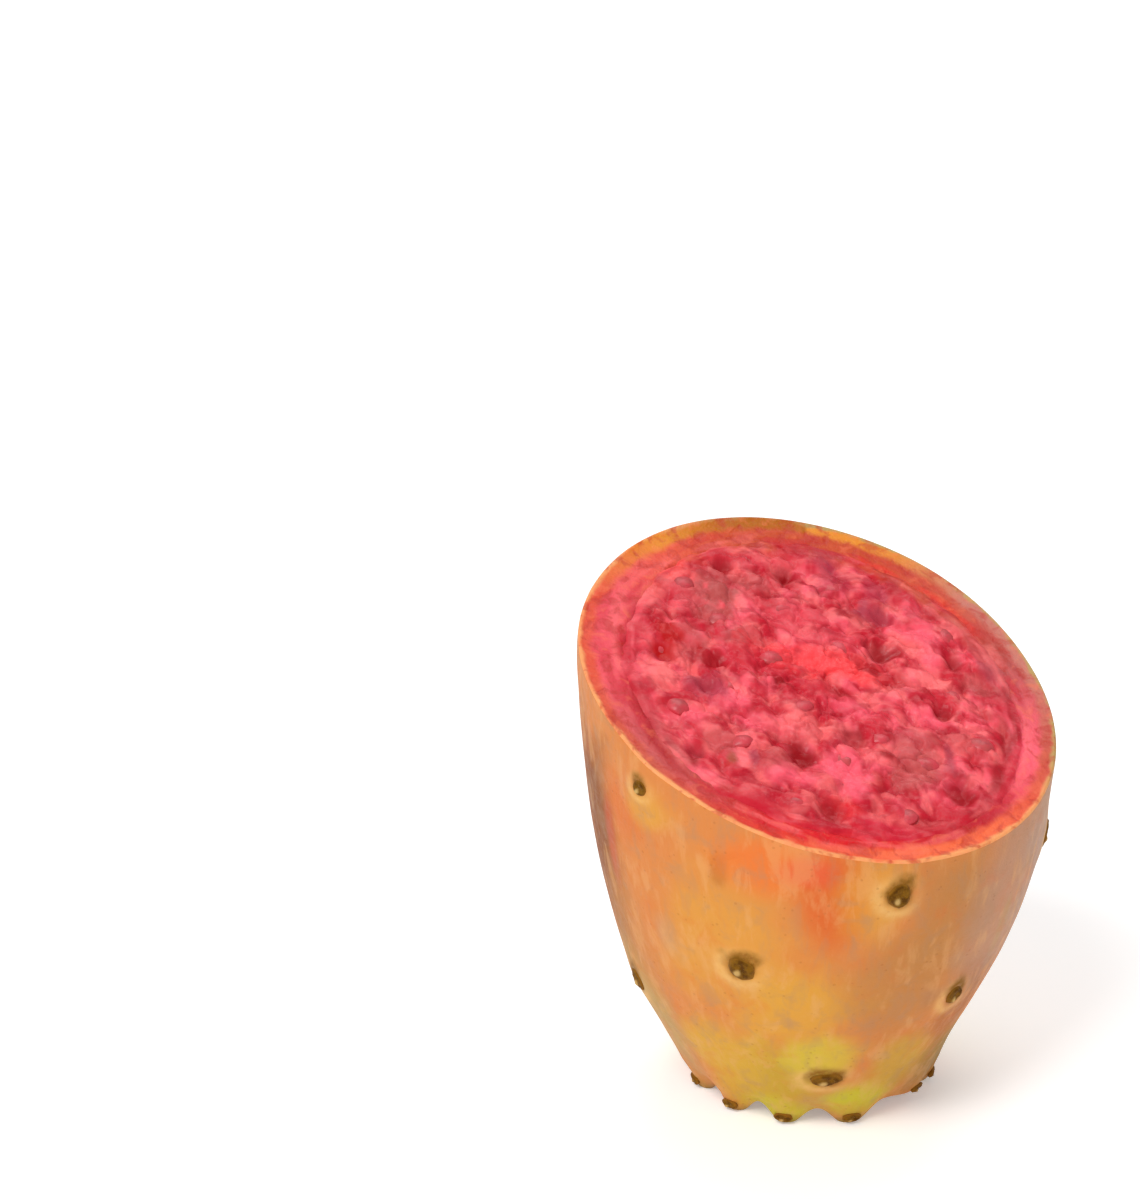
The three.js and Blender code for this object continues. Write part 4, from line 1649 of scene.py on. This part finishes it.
@dataclass(frozen=True)
class PulpBody:
    """The pulp that fills the rind, with sacs, creases, pits and fibres on its cut face.

    Attributes:
        layout: Where the sacs lie.
        dome: Rise of a sac over its feet, which lie at a level against the cut.
        sac_radius: Reach of a dome.
        crease: Depth of the creases between sacs, and crease_width their reach.
        tear: Depth of the ragged tears that the knife has left.
        pit_depth: Depth of a pit, and pit_radius its reach.
        edge_band: Share of the radius over which the relief dies out at the rind.
        spill: How far a film of pulp reaches out over the rind, and bury how deep its edge dips in there.
        gap: How far the pulp is drawn in from the rind below the film.
        segments: Steps round the axis, with rings rows on the cut face and bowl_rows below it, for the
            bottom and for the wall up to the share wall_top.
        sac_tones: Tones of single sacs, laid in this order.
        patches: Sizes of the patches that lie over them, with their tones.
        stains: Paint on the cut face, in the order in which it is laid, and deep those of its tones that
            no fleck lies over. The flecks over the others are half as strong.
    """

    layout: SacLayout
    rind: RindShell
    dome: float = 0.4
    level: float = -0.15
    sac_radius: float = 2.5
    crease: float = 0.15
    crease_width: float = 0.35
    tear: float = 0.34
    pit_depth: float = 1.1
    pit_radius: float = 1.3
    edge_band: float = 0.1
    spill: float = 1.3
    bury: float = 0.5
    gap: float = 0.15
    segments: int = 460
    rings: int = 170
    bowl_rows: tuple[int, int] = (14, 12)
    wall_top: float = 0.97
    sac_tones: tuple[Tone, ...] = (Tone.ROSE, Tone.VEIL, Tone.PINK, Tone.GARNET)
    patches: tuple[tuple[float, Tone], ...] = ((6.5, Tone.ROSE), (2.8, Tone.PINK), (1.7, Tone.PALE))
    stains: tuple[Stain, ...] = stains_of(
        (Tone.VEIL, (-11.5, 8.5, 2.6, 4, 0.85), (-10.5, 12.5, 2.5, 2, 0.6), (-7, 12.8, 2, 1.7, 0.6),
         (-13.5, 2, 1.5, 3, 0.5), (-7.5, 3.5, 2.4, 1, 0.6), (9.8, -8.5, 2.8, 4, 0.65),
         (8.5, -12.5, 2, 1.6, 0.5), (17.5, 4, 2.2, 1.8, 0.8), (-5.5, -13.5, 2.4, 2, 0.4),
         (-10.5, -12.5, 2.4, 1.8, 0.6)),
        (Tone.CORAL, (0.5, 3, 5.6, 2.4, 0.85), (4, 1.8, 3, 1.4, 0.7), (-15.5, 12.5, 2, 2.5, 0.6)),
        (Tone.ROSE, (0, 6.3, 4, 1.2, 0.7), (-2, 9, 3, 1.6, 0.6), (-15, 8, 2, 2.5, 0.7),
         (-10, 16.7, 3, 1.5, 0.6)),
        (Tone.PINK, (1.5, -12.5, 2.6, 2.5, 0.95), (-3, -15.5, 2.5, 1.2, 0.8), (2.8, -15.3, 1.8, 1.6, 0.9),
         (12, -2.5, 2, 1.4, 0.8), (3.6, -3.6, 2, 1.2, 0.7), (-7.5, -8.5, 2.2, 1.2, 0.7),
         (12.3, 6, 1.2, 1.6, 0.7)),
        (Tone.PALE, (10, 8.2, 1.9, 1.3, 0.7)),
        (Tone.PINK, (11.5, 10, 2.4, 1.4, 0.8), (12, 12, 1.5, 1.5, 0.7), (-9, -6, 1.8, 1.4, 0.7),
         (-14, -9.5, 2, 1.2, 0.7), (-13, -17.5, 1.6, 1.3, 0.8)),
        (Tone.PALE, (12.5, 3.2, 2, 1.2, 0.8), (-1.5, -8, 3, 2, 0.6), (-16.6, -4.5, 1.2, 2.6, 0.95)),
        (Tone.MAGENTA, (1.5, 18.5, 1.4, 1.6, 0.8), (2.5, 16, 2, 2.2, 0.5), (7, 15.5, 1.5, 2, 0.6)),
        (Tone.MAUVE, (7.2, 12, 1.8, 1.4, 0.75), (-12.2, -4.5, 1.8, 1.6, 0.75), (18.7, 7, 1, 1.8, 0.6),
         (13.2, -7.5, 0.7, 2, 0.7), (-7.5, -13.5, 0.7, 1.6, 0.8)),
        (Tone.CRIMSON, (-2, 18.3, 3, 1.5, 0.6), (-8, 0.3, 2.4, 1.6, 0.9), (-1, -1.3, 4, 0.8, 0.7),
         (12.5, -16, 3, 1.2, 0.8), (-13.2, -13, 0.5, 1.2, 0.8), (-8, -20.3, 3.5, 1.2, 0.9)),
        (Tone.SCARLET, (1.6, -18.2, 2.2, 1.4, 0.8)),
        (Tone.CARMINE, (6.5, -19.8, 3, 1.2, 0.9)),
        (Tone.GARNET, (-11.3, -0.3, 1, 1.2, 0.9), (16, -6, 1.6, 1.8, 0.5), (-6.5, -1.5, 0.9, 0.9, 0.8),
         (2.4, -1.4, 0.9, 0.5, 0.9), (5.6, 3.2, 0.8, 1, 0.9), (8, 2, 1.5, 1.2, 0.6),
         (8.6, 6.5, 0.9, 0.8, 0.8), (3.6, 10.7, 0.8, 0.5, 0.8), (12.8, 14, 1.2, 1.2, 0.7),
         (9, 16.5, 0.9, 1, 0.7), (17.5, 10, 1, 1.2, 0.7), (11.5, 1.2, 1.2, 0.7, 0.7),
         (17.5, -0.5, 1.2, 0.7, 0.7), (3.3, -8, 0.8, 1.2, 0.9), (5.7, -14, 0.5, 1.6, 0.7),
         (10, -18.2, 2.2, 1.2, 0.95)),
        (Tone.MAROON, (-4.2, -1.7, 1, 0.6, 0.9), (6.8, 6.7, 1.1, 1.2, 0.9), (-9.9, 15.1, 0.8, 1.1, 0.9),
         (-3, 15.4, 0.9, 1.2, 1.0), (15, 6.5, 0.7, 1.5, 0.8), (13.4, -0.8, 0.7, 1, 0.85),
         (19.5, -4, 0.8, 4, 0.7), (18.3, -8.5, 0.8, 2.5, 0.6), (14.2, -12.7, 1.6, 1.1, 0.9),
         (6.6, -9.8, 1.1, 0.7, 0.9), (-2.4, -11.4, 1.8, 1.6, 1.0), (-13.7, -15.7, 0.6, 1.2, 0.9),
         (0.1, -19.2, 0.6, 1.1, 0.8)),
        (Tone.HAZEL, (-9.7, -14.5, 0.8, 1.2, 0.6)),
        (Tone.RUBY, (-16.7, -0.2, 1.6, 1.5, 1.0), (-15.9, 1.9, 1.3, 1.6, 0.95)),
    )
    deep: frozenset[Tone] = frozenset(
        {Tone.RUBY, Tone.MAROON, Tone.GARNET, Tone.CRIMSON, Tone.CARMINE, Tone.MAUVE}
    )

    def near_sacs(self, x: Array, y: Array) -> tuple[Array, Array, Array]:
        """Find the two nearest sacs of each place, after pulling the places out of shape a little.

        Args:
            x: Places across.
            y: Places along.

        Returns:
            The number of the nearest sac, the distance to it, and how much farther the next one is.
        """
        place = flat_places(x, y)
        bent_x = x + 1.2 * clouds(place, 3.2, 51) + 0.5 * clouds(place, 1.0, 56)
        bent_y = y + 1.2 * clouds(place, 3.2, 52) + 0.5 * clouds(place, 1.0, 57)
        middles = np.array([(sac.x, sac.y) for sac in self.layout.sacs()])
        distance = np.hypot(bent_x[:, None] - middles[:, 0], bent_y[:, None] - middles[:, 1])
        order = np.argsort(distance, axis=1)[:, :2]
        first, second = np.take_along_axis(distance, order, axis=1).T
        return order[:, 0], first, second - first

    def pits(self, x: Array, y: Array) -> Array:
        """Find how deep in a pit each place is.

        Args:
            x: Places across.
            y: Places along.

        Returns:
            A depth from 0 to about 1 for each place.
        """
        place = flat_places(x, y)
        ragged = 0.15 * clouds(place, 1.6, 53, 2)
        total = np.zeros(x.shape)
        for sac in self.layout.sacs():
            if sac.pit:
                size = self.pit_radius * (0.75 + 0.6 * draw(sac.index, 7))
                reach = np.hypot(x - sac.x, y - sac.y) / size
                total = np.maximum(total, soft_step((1.5 - reach) / 1.4 + ragged) * (reach < 2))
        return total

    def relief(self, x: Array, y: Array) -> Array:
        """Find the rise of the pulp over the plane of the cut.

        Args:
            x: Places across.
            y: Places along.

        Returns:
            The rise at each place.
        """
        place = flat_places(x, y)
        nearest, distance, margin = self.near_sacs(x, y)
        fall = np.minimum(distance / self.sac_radius, 1.3) ** 2
        swell = self.dome * (0.75 + 0.35 * draw(nearest, 8)) * (1 - fall)
        creases = self.crease * bell(margin, self.crease_width) * (0.4 + 0.6 * draw(nearest, 9))
        beads = 0.22 * clouds(place, 2.2, 54, 2) + 0.05 * clouds(place, 0.9, 55, 2)
        rise = self.level + swell - creases + beads
        return rise - self.tear * self.tears(x, y) - self.pit_depth * self.pits(x, y)

    def tears(self, x: Array, y: Array) -> Array:
        """Find how deep in a tear each place is. Tears are winding lines, where noise crosses nothing.

        Args:
            x: Places across.
            y: Places along.

        Returns:
            A depth from 0 to 1 for each place.
        """
        place = flat_places(x, y)
        some = soft_step(0.5 + 1.6 * clouds(place, 5.0, 58))
        long = bell(clouds(place * (1, 1.7, 1), 4.2, 59), 0.1)
        short = bell(clouds(place, 2.6, 60), 0.1)
        return np.maximum(long * some, 0.6 * short * (1 - some))

    def build(self, finish: bpy.types.Material) -> bpy.types.Object:
        """Build the pulp and store the masks that its finish reads.

        Args:
            finish: The wet finish.

        Returns:
            The pulp.
        """
        angle = np.arange(self.segments) * TAU / self.segments
        form, wall = self.layout.form, self.layout.edge(angle, self.gap)
        radius = np.linalg.norm(wall, axis=-1, keepdims=True)
        film = self.spill * (1 + 0.4 * clouds(wall, 4.0, 61)[:, None])
        bottom, side = self.bowl_rows
        shares = (*np.linspace(0, 0.5, bottom), *np.linspace(0.5, self.wall_top, side)[1:])
        rows = [form.bowl(share, angle, self.gap) for share in shares]
        for share in np.linspace(1, 0, self.rings):
            row = wall * (1 + film / radius) * share
            inwards = (1 - share) * radius[:, 0]
            rise = self.relief(row[:, 0], row[:, 1]) * soft_step((1 - share) / self.edge_band - 0.4)
            rise += 0.12 * clouds(row, 1.3, 62) - self.bury * (1 - soft_step(inwards / (1.2 * self.spill)))
            row[:, 2] = form.plane(row[:, 0], row[:, 1]) + rise
            rows.append(row)
        piece = new_object("pulp_body", *closed_rows(np.array(rows)), finish)
        self.colour(piece)
        return piece

    def colour(self, piece: bpy.types.Object) -> None:
        """Store the paint of the face, and the masks of pits and creases, which take painted shade, and of
        calm patches.

        Args:
            piece: The pulp.
        """
        points = places_of(piece)
        x, y = points[:, 0], points[:, 1]
        place = flat_places(x, y)
        nearest, _, margin = self.near_sacs(x, y)
        colour = np.tile(rgb(Tone.CHERRY), (len(x), 1))
        for stream, tone in enumerate(self.sac_tones, start=10):
            share = 0.6 * soft_step((draw(nearest, stream) - 0.62) / 0.2) * soft_step(margin / 1.2)
            colour = lay(colour, share, tone)
        for stream, (size, light) in enumerate(self.patches, start=67):
            patches = 2.2 * clouds(place, size, stream, 2)
            colour = lay(colour, 0.55 * soft_step(patches), light)
            colour = lay(colour, 0.8 * soft_step(-patches), Tone.CRIMSON)
        angle = np.arctan2(x, -y)
        wall = np.linalg.norm(self.layout.edge(angle, self.gap), axis=-1)
        reach = np.hypot(x, y) / wall
        from_wall = np.hypot(x, y) - wall
        border = soft_step((from_wall + 1.7 + 0.6 * clouds(place, 2.0, 66)) / 1.5)
        colour = lay(colour, 0.85 * border, self.rind.at_angle(angle, "inner"))
        ragged = 1 + 0.5 * clouds(place, 2.6, 64) + 0.25 * clouds(place, 0.9, 65)
        calm = np.zeros(len(x))
        for stain in self.stains:
            share = stain.cover(x - stain.across, y - stain.up, ragged)
            colour = lay(colour, share, stain.tone)
            calm = np.maximum(calm, share * (1.0 if stain.tone in self.deep else 0.5))
        colour = self.rind.soak(colour, angle, from_wall)
        threads = clouds(flat_places(angle * 16, reach * 3), 1.0, 63)
        fibre = soft_step((threads - 0.25) * 2.2) * soft_step((reach - 0.25) / 0.4)
        colour = lay(colour, 0.2 * fibre * (1 - calm), Tone.PALE)
        # Creases and pits get painted shade in the finish.
        crease = np.maximum(0.7 * bell(margin, 0.3) * draw(nearest, 14), self.tears(x, y)) * (1 - border)
        paint(piece, "PulpPaint", *colour.T)
        paint(piece, "Depths", np.clip(self.pits(x, y), 0, 1), crease, calm)


@dataclass(frozen=True)
class SeedSet:
    """The seeds that show on the cut face, each a flat bean with a raised rim, sunk in its sac.

    Attributes:
        pulp: The pulp that holds them.
        half_sizes: Half length, width and thickness of a seed, of which it fills the share fill, and flat
            of that in thickness.
        rim_rise: How far the rim stands out round a seed, over rim_width.
        notch_depth: How deep the notch at its end is, over notch_width.
        egg: How much narrower one end is than the other, and lump how uneven it is all over.
        sink: How far a seed's middle lies under the pulp's surface, by up to sink_more deeper.
        hollow_sink: How much deeper a seed lies beside a pit, over a reach of hollow_reach.
        tilt: Greatest lean of a seed.
        juicy: Where juice has run over a seed, which lies deeper there too.
        sides: Number of points round a seed, on rings rows.
    """

    pulp: PulpBody
    half_sizes: tuple[float, float, float] = (1.8, 1.45, 1.1)
    fill: float = 0.95
    flat: float = 0.96
    rim_rise: float = 0.05
    rim_width: float = 0.28
    notch_depth: float = 0.16
    notch_width: float = 0.45
    egg: float = 0.1
    lump: float = 0.05
    sink: float = 0.88
    sink_more: float = 0.3
    hollow_sink: float = 0.7
    hollow_reach: float = 3.0
    tilt: float = math.radians(24)
    juicy: tuple[tuple[float, float], ...] = ((-17.2, 1.5),)
    sides: int = 28
    rings: int = 18

    def shape(self, index: int) -> Array:
        """Find the points of one seed, row by row, with a rim round its waist and a notch at one end.

        Args:
            index: The seed's number.

        Returns:
            Rows of points about its middle.
        """
        turn = np.arange(self.sides) * TAU / self.sides
        rows = []
        for polar in np.linspace(0, math.pi, self.rings):
            waist = math.sin(polar)
            rim = 1 + self.rim_rise * bell(np.array(polar - math.pi / 2), self.rim_width)
            from_end = np.abs((turn + math.pi) % TAU - math.pi)
            notch = 1 - self.notch_depth * bell(from_end, self.notch_width) * waist
            x = self.half_sizes[0] * waist * np.cos(turn) * rim * notch
            y = self.half_sizes[1] * waist * np.sin(turn) * rim * (1 - self.egg * np.cos(turn))
            z = np.full(self.sides, -self.half_sizes[2] * math.cos(polar) * self.flat)
            rows.append(np.stack([x, y, z], axis=-1))
        shape = np.array(rows) * self.fill
        lumps = 1 + self.lump * clouds(shape + 10 * index, 1.2, 71)
        return shape * lumps[..., None]

    def lean(self, index: int) -> Array:
        """Find how a seed leans.

        Args:
            index: The seed's number.

        Returns:
            Its turning matrix, by X, then Y, then Z.
        """
        a, b = (self.tilt * (2 * draw(index, stream) - 1) for stream in (4, 5))
        c = TAU * draw(index, 6)
        about_x = np.array([[1, 0, 0], [0, math.cos(a), -math.sin(a)], [0, math.sin(a), math.cos(a)]])
        about_y = np.array([[math.cos(b), 0, math.sin(b)], [0, 1, 0], [-math.sin(b), 0, math.cos(b)]])
        about_z = np.array([[math.cos(c), -math.sin(c), 0], [math.sin(c), math.cos(c), 0], [0, 0, 1]])
        return about_x @ about_y @ about_z

    def build(self, finish: bpy.types.Material) -> bpy.types.Object:
        """Build all seeds as one piece.

        Args:
            finish: The seed coat.

        Returns:
            The seeds.
        """
        layout = self.pulp.layout
        hollows = layout.pits + self.juicy
        shapes = []
        for sac in layout.sacs():
            if not sac.seed:
                continue
            near = min(np.hypot(sac.x - x, sac.y - y) for x, y in hollows)
            deep = self.sink + self.sink_more * draw(sac.index, 15)
            deep += self.hollow_sink * float(bell(near, self.hollow_reach))
            rise = float(self.pulp.relief(np.array([sac.x]), np.array([sac.y]))[0]) - deep
            middle = np.array([sac.x, sac.y, layout.form.plane(sac.x, sac.y) + rise])
            shapes.append(self.shape(sac.index) @ self.lean(sac.index).T + middle)
        return new_object("seeds", *closed_shapes(shapes), finish)


@dataclass(frozen=True)
class Seat:
    """Where a pad sits: its place, the directions round, up and out as rows, and its half sizes."""

    place: Array
    directions: Array
    half_sizes: Array


@dataclass(frozen=True)
class SpineCushions:
    """The felted pads in their seats and on the feet of the rim's lobes, with short bristles.

    Attributes:
        rind: The rind that they sit on.
        half_sizes: Half width round the fruit, half length up it, and height of a pad on the flank.
        rim_half_sizes: The same of a pad on a lobe.
        rim_place: How far round the lip's roll a rim pad sits.
        sink: How far a pad's middle lies under the knoll.
        heart: Where a pad's heart is and how wide it is, against the pad, and heart_rise its height.
        hollow: The same of the hollow beside it, and hollow_depth its depth.
        ragged: How uneven a pad's outline is, and lump its top.
        bristles: Number of bristles on a pad, up to bristle_length long and bristle_radius thick, whose
            feet reach out to the share bristle_reach of it.
        sides: Number of points round a pad, on rings rows.
    """

    rind: RindShell
    half_sizes: tuple[float, float, float] = (1.5, 1.8, 0.62)
    rim_half_sizes: tuple[float, float, float] = (1.0, 0.58, 0.45)
    rim_place: float = 0.95
    sink: float = 0.38
    heart: tuple[float, float, float] = (-0.2, -0.32, 0.26)
    heart_rise: float = 0.3
    hollow: tuple[float, float, float] = (0.1, 0.1, 0.55)
    hollow_depth: float = 0.55
    ragged: float = 0.16
    lump: float = 0.14
    bristles: int = 30
    bristle_reach: float = 0.92
    bristle_length: float = 0.4
    bristle_radius: float = 0.03
    sides: int = 40
    rings: int = 26

    def seats(self) -> list[Seat]:
        """Find the seats of all pads.

        Returns:
            The seats, those on the flank first.
        """
        skin = self.rind.skin
        seats = []
        for c in skin.cushions:
            place, directions = self.seat_frame(self.plain_point, c.angle, c.height, 0.5)
            size = np.array(self.half_sizes) * (c.width, c.length, 1.0)
            seats.append(Seat(place - self.sink * directions[2], directions, size))
        for degrees, _ in skin.lobes:
            angle = math.radians(degrees)
            place, directions = self.seat_frame(
                lambda a, share: self.rind.lip(share, np.array(a)), angle, self.rim_place, 0.05
            )
            seats.append(Seat(place, directions, np.array(self.rim_half_sizes)))
        return seats

    def seat_frame(self, surface: Callable[[float, float], Array], angle: float, place: float,
                   step: float) -> tuple[Array, Array]:
        """Find a place on a surface and the directions round, up and out of it.

        Args:
            surface: The point at an angle and a place up the fruit.
            angle: Angle round the axis.
            place: Place up the fruit.
            step: How far up and down the slope is felt.

        Returns:
            The point, and a matrix with the directions as rows.
        """
        up = surface(angle, place + step) - surface(angle, place - step)
        up /= np.linalg.norm(up)
        side = around(1.0, angle + math.pi / 2, 0.0)
        out = np.cross(side, up)
        return surface(angle, place), np.array([side, up, out / np.linalg.norm(out)])

    def plain_point(self, angle: float, height: float) -> Array:
        """Find a point on the skin with its knolls, but with no seats let in.

        Args:
            angle: Angle round the axis.
            height: Height above the ground.

        Returns:
            The point.
        """
        skin = self.rind.skin
        radius = skin.form.body_radius(angle, height)
        for cushion in skin.cushions:
            distance = np.hypot(*skin.from_cushion(np.float64(angle), np.float64(height), cushion))
            radius += skin.knoll_height * bell(distance, skin.knoll_width)
        return around(radius - skin.unevenness, angle, height)

    def pad(self, number: int) -> tuple[Array, Array, Array]:
        """Find the points of one pad of size 1 and its masks.

        Args:
            number: The pad's number.

        Returns:
            Rows of points about its place, the mask of its heart and the mask of its rim.
        """
        turn = np.arange(self.sides) * TAU / self.sides
        polar = np.linspace(0, math.pi, self.rings)[:, None]
        heart_x, heart_y, heart_width = self.heart
        hollow_x, hollow_y, hollow_width = self.hollow
        heart_x += 0.2 * (draw(number, 21) - 0.5)
        x = np.sin(polar) * np.cos(turn)
        y = np.sin(polar) * np.sin(turn)
        z = -np.cos(polar) + 0 * turn
        ball = np.stack([x, y, z + 3 * number], axis=-1)
        ragged = 1 + self.ragged * clouds(ball, 0.7, 81)
        over = z > 0
        heart = bell(np.hypot(x - heart_x, y - heart_y), heart_width) * over
        hollow = self.hollow_depth * bell(np.hypot(x - hollow_x, y - hollow_y), hollow_width) * over
        crown = z * (1 - hollow) + self.heart_rise * heart + self.lump * clouds(ball, 0.45, 82) * over
        rim = soft_step((np.hypot(x, y) - 0.7) / 0.3)
        return np.stack([x * ragged, y * ragged, crown], axis=-1), heart, rim

    def build(self, finish: bpy.types.Material) -> bpy.types.Object:
        """Build all pads as one piece.

        Args:
            finish: The felt.

        Returns:
            The pads.
        """
        shapes, hearts, rims = [], [], []
        for number, seat in enumerate(self.seats()):
            shape, heart, rim = self.pad(number)
            placed = (shape * seat.half_sizes) @ seat.directions + seat.place
            placed[..., 2] = np.maximum(placed[..., 2], 0)
            shapes.append(placed)
            hearts.append(at_vertices(heart))
            rims.append(at_vertices(rim))
        piece = new_object("spine_cushions", *closed_shapes(shapes), finish)
        paint(piece, "Felt", np.concatenate(hearts), np.concatenate(rims))
        return piece

    def build_bristles(self, finish: bpy.types.Material) -> bpy.types.Object:
        """Build the bristles of all pads as one piece of slim three-sided spikes.

        Args:
            finish: The bristles' finish.

        Returns:
            The bristles.
        """
        points, faces = [], []
        corners = np.array([[math.cos(a), math.sin(a)] for a in (0, TAU / 3, 2 * TAU / 3)])
        for number, seat in enumerate(self.seats()):
            for i in range(self.bristles):
                key = number * 101 + i
                turn, reach = TAU * draw(key, 22), math.sqrt(draw(key, 23)) * self.bristle_reach
                x, y = reach * math.cos(turn), reach * math.sin(turn)
                root = np.array([x, y, math.sqrt(1 - reach**2) * 0.6]) * seat.half_sizes
                lean = np.array([x + 0.4 * (draw(key, 24) - 0.5), y + 0.4 * (draw(key, 25) - 0.3), 0.8])
                length = self.bristle_length * seat.half_sizes[0] / self.half_sizes[0]
                length *= 0.4 + 0.6 * draw(key, 26)
                tip = root + lean / np.linalg.norm(lean) * length
                foot = [[*(root[:2] + c * self.bristle_radius), root[2] - 0.15] for c in corners]
                world = np.array([*foot, tip]) @ seat.directions + seat.place
                if world[:, 2].min() < 0.02:
                    continue
                first = len(points) * 4
                points.append(world)
                faces.append(np.array([[0, 2, 1], [0, 1, 3], [1, 2, 3], [2, 0, 3]]) + first)
        return new_object("bristles", np.concatenate(points), faces, finish)


# ------------------------------------------------------------
# The stage
# ------------------------------------------------------------


@dataclass(frozen=True)
class Studio:
    """Plain pale floor, soft light and the camera.

    Attributes:
        camera_distance: Distance from the axis to the camera, along its view.
        pitch: How far the camera looks down.
        aim: The point in the middle of the picture, in metres.
        lens: Focal length in millimetres, on a sensor as wide as sensor.
        floor_half: Half the side of the floor, in metres.
        lit: The point that the lights shine at.
        lights: Name, place, side in metres and power in watts of each light.
        room_light: Strength of the pale surroundings.
    """

    camera_distance: float = 0.4
    pitch: float = math.radians(19.494)
    aim: tuple[float, float, float] = (-0.02635, 0.0, 0.05476)
    lens: float = 114.37
    sensor: float = 36.0
    floor_half: float = 3.0
    lit: tuple[float, float, float] = (0.0, 0.0, 0.03)
    lights: tuple[tuple[str, tuple[float, float, float], float, float], ...] = (
        ("key", (-1.2, -1.5, 2.2), 1.3, 52.0),
        ("fill", (1.6, -1.8, 1.2), 1.6, 5.0),
        ("top", (0.2, 1.0, 2.4), 1.8, 24.0),
    )
    room_light: float = 0.4

    def add_camera(self) -> None:
        """Add the camera and make it the scene's."""
        data = bpy.data.cameras.new("camera")
        data.lens = self.lens
        data.sensor_width = self.sensor
        camera = bpy.data.objects.new("camera", data)
        back = np.array([0, -math.cos(self.pitch), math.sin(self.pitch)])
        camera.location = np.array(self.aim) + back * self.camera_distance
        camera.rotation_euler = (math.pi / 2 - self.pitch, 0, 0)
        bpy.context.scene.collection.objects.link(camera)
        bpy.context.scene.camera = camera

    def add_light(self, name: str, place: tuple[float, float, float], size: float, power: float) -> None:
        """Add one soft square light that shines at the fruit.

        Args:
            name: Its name.
            place: Where it is, in metres.
            size: Its side in metres.
            power: Its power in watts.
        """
        data = bpy.data.lights.new(name, "AREA")
        data.size = size
        data.energy = power
        light = bpy.data.objects.new(name, data)
        light.location = place
        towards = np.array(self.lit) - np.array(place)
        flat = math.hypot(towards[0], towards[1])
        light.rotation_euler = (math.atan2(flat, -towards[2]), 0, math.atan2(-towards[0], towards[1]))
        bpy.context.scene.collection.objects.link(light)

    def add_floor(self, finish: bpy.types.Material) -> None:
        """Add the floor that the half stands on.

        Args:
            finish: The floor's finish.
        """
        side = self.floor_half / MM
        corners = np.array([[-side, -side, 0], [side, -side, 0], [side, side, 0], [-side, side, 0]])
        new_object("floor", corners, [np.array([[0, 1, 2, 3]])], finish)

    def light_up(self) -> None:
        """Set the pale surroundings, the lights and the way that brightness is shown."""
        scene = bpy.context.scene
        world = bpy.data.worlds.new("pale_room")
        world.use_nodes = True
        sky = world.node_tree.nodes["Background"].inputs
        sky["Color"].default_value = (1.0, 1.0, 1.0, 1.0)
        sky["Strength"].default_value = self.room_light
        scene.world = world
        scene.view_settings.view_transform = "Standard"
        for light in self.lights:
            self.add_light(*light)


# ------------------------------------------------------------
# Putting it together
# ------------------------------------------------------------


def place_piece(piece: bpy.types.Object, slot: str, *nodes: str) -> None:
    """Let a piece ride on the fruit, hide the nodes that it stands for, and log its counts of vertices and
    faces.

    Args:
        piece: The piece.
        slot: Name of a material slot. Not used.
        nodes: The nodes that it replaces.
    """
    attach(piece, BODY)
    if nodes:
        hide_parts(*nodes)
    LOG.info("%s: %d vertices, %d faces", piece.name, len(piece.data.vertices), len(piece.data.polygons))


def main() -> None:
    """Build the half on its floor and dress it."""
    logging.basicConfig(level=logging.INFO, format="%(name)s: %(message)s")
    studio = Studio()
    studio.add_camera()
    studio.light_up()
    studio.add_floor(PaleFloor().material())

    form = FruitForm()
    skin = Skin(form, tuple(CushionLayout().places(form)))
    scar_finish = CorkyScar().material()
    rind = RindShell(skin)
    place_piece(rind.build([WaxySkin().material(), CutRind().material(), scar_finish]), "skin", "rind")
    place_piece(ScarDisc(rind).build(scar_finish), "scar")
    cushions = SpineCushions(rind)
    place_piece(cushions.build(BrownFelt().material()), "cushion")
    place_piece(cushions.build_bristles(DryBristle().material()), "cushion")
    pulp = PulpBody(SacLayout(form), rind)
    place_piece(pulp.build(WetPulp().material()), "flesh", "pulp")
    place_piece(SeedSet(pulp).build(SeedCoat().material()), "seed")


if __name__ == "__main__":
    main()
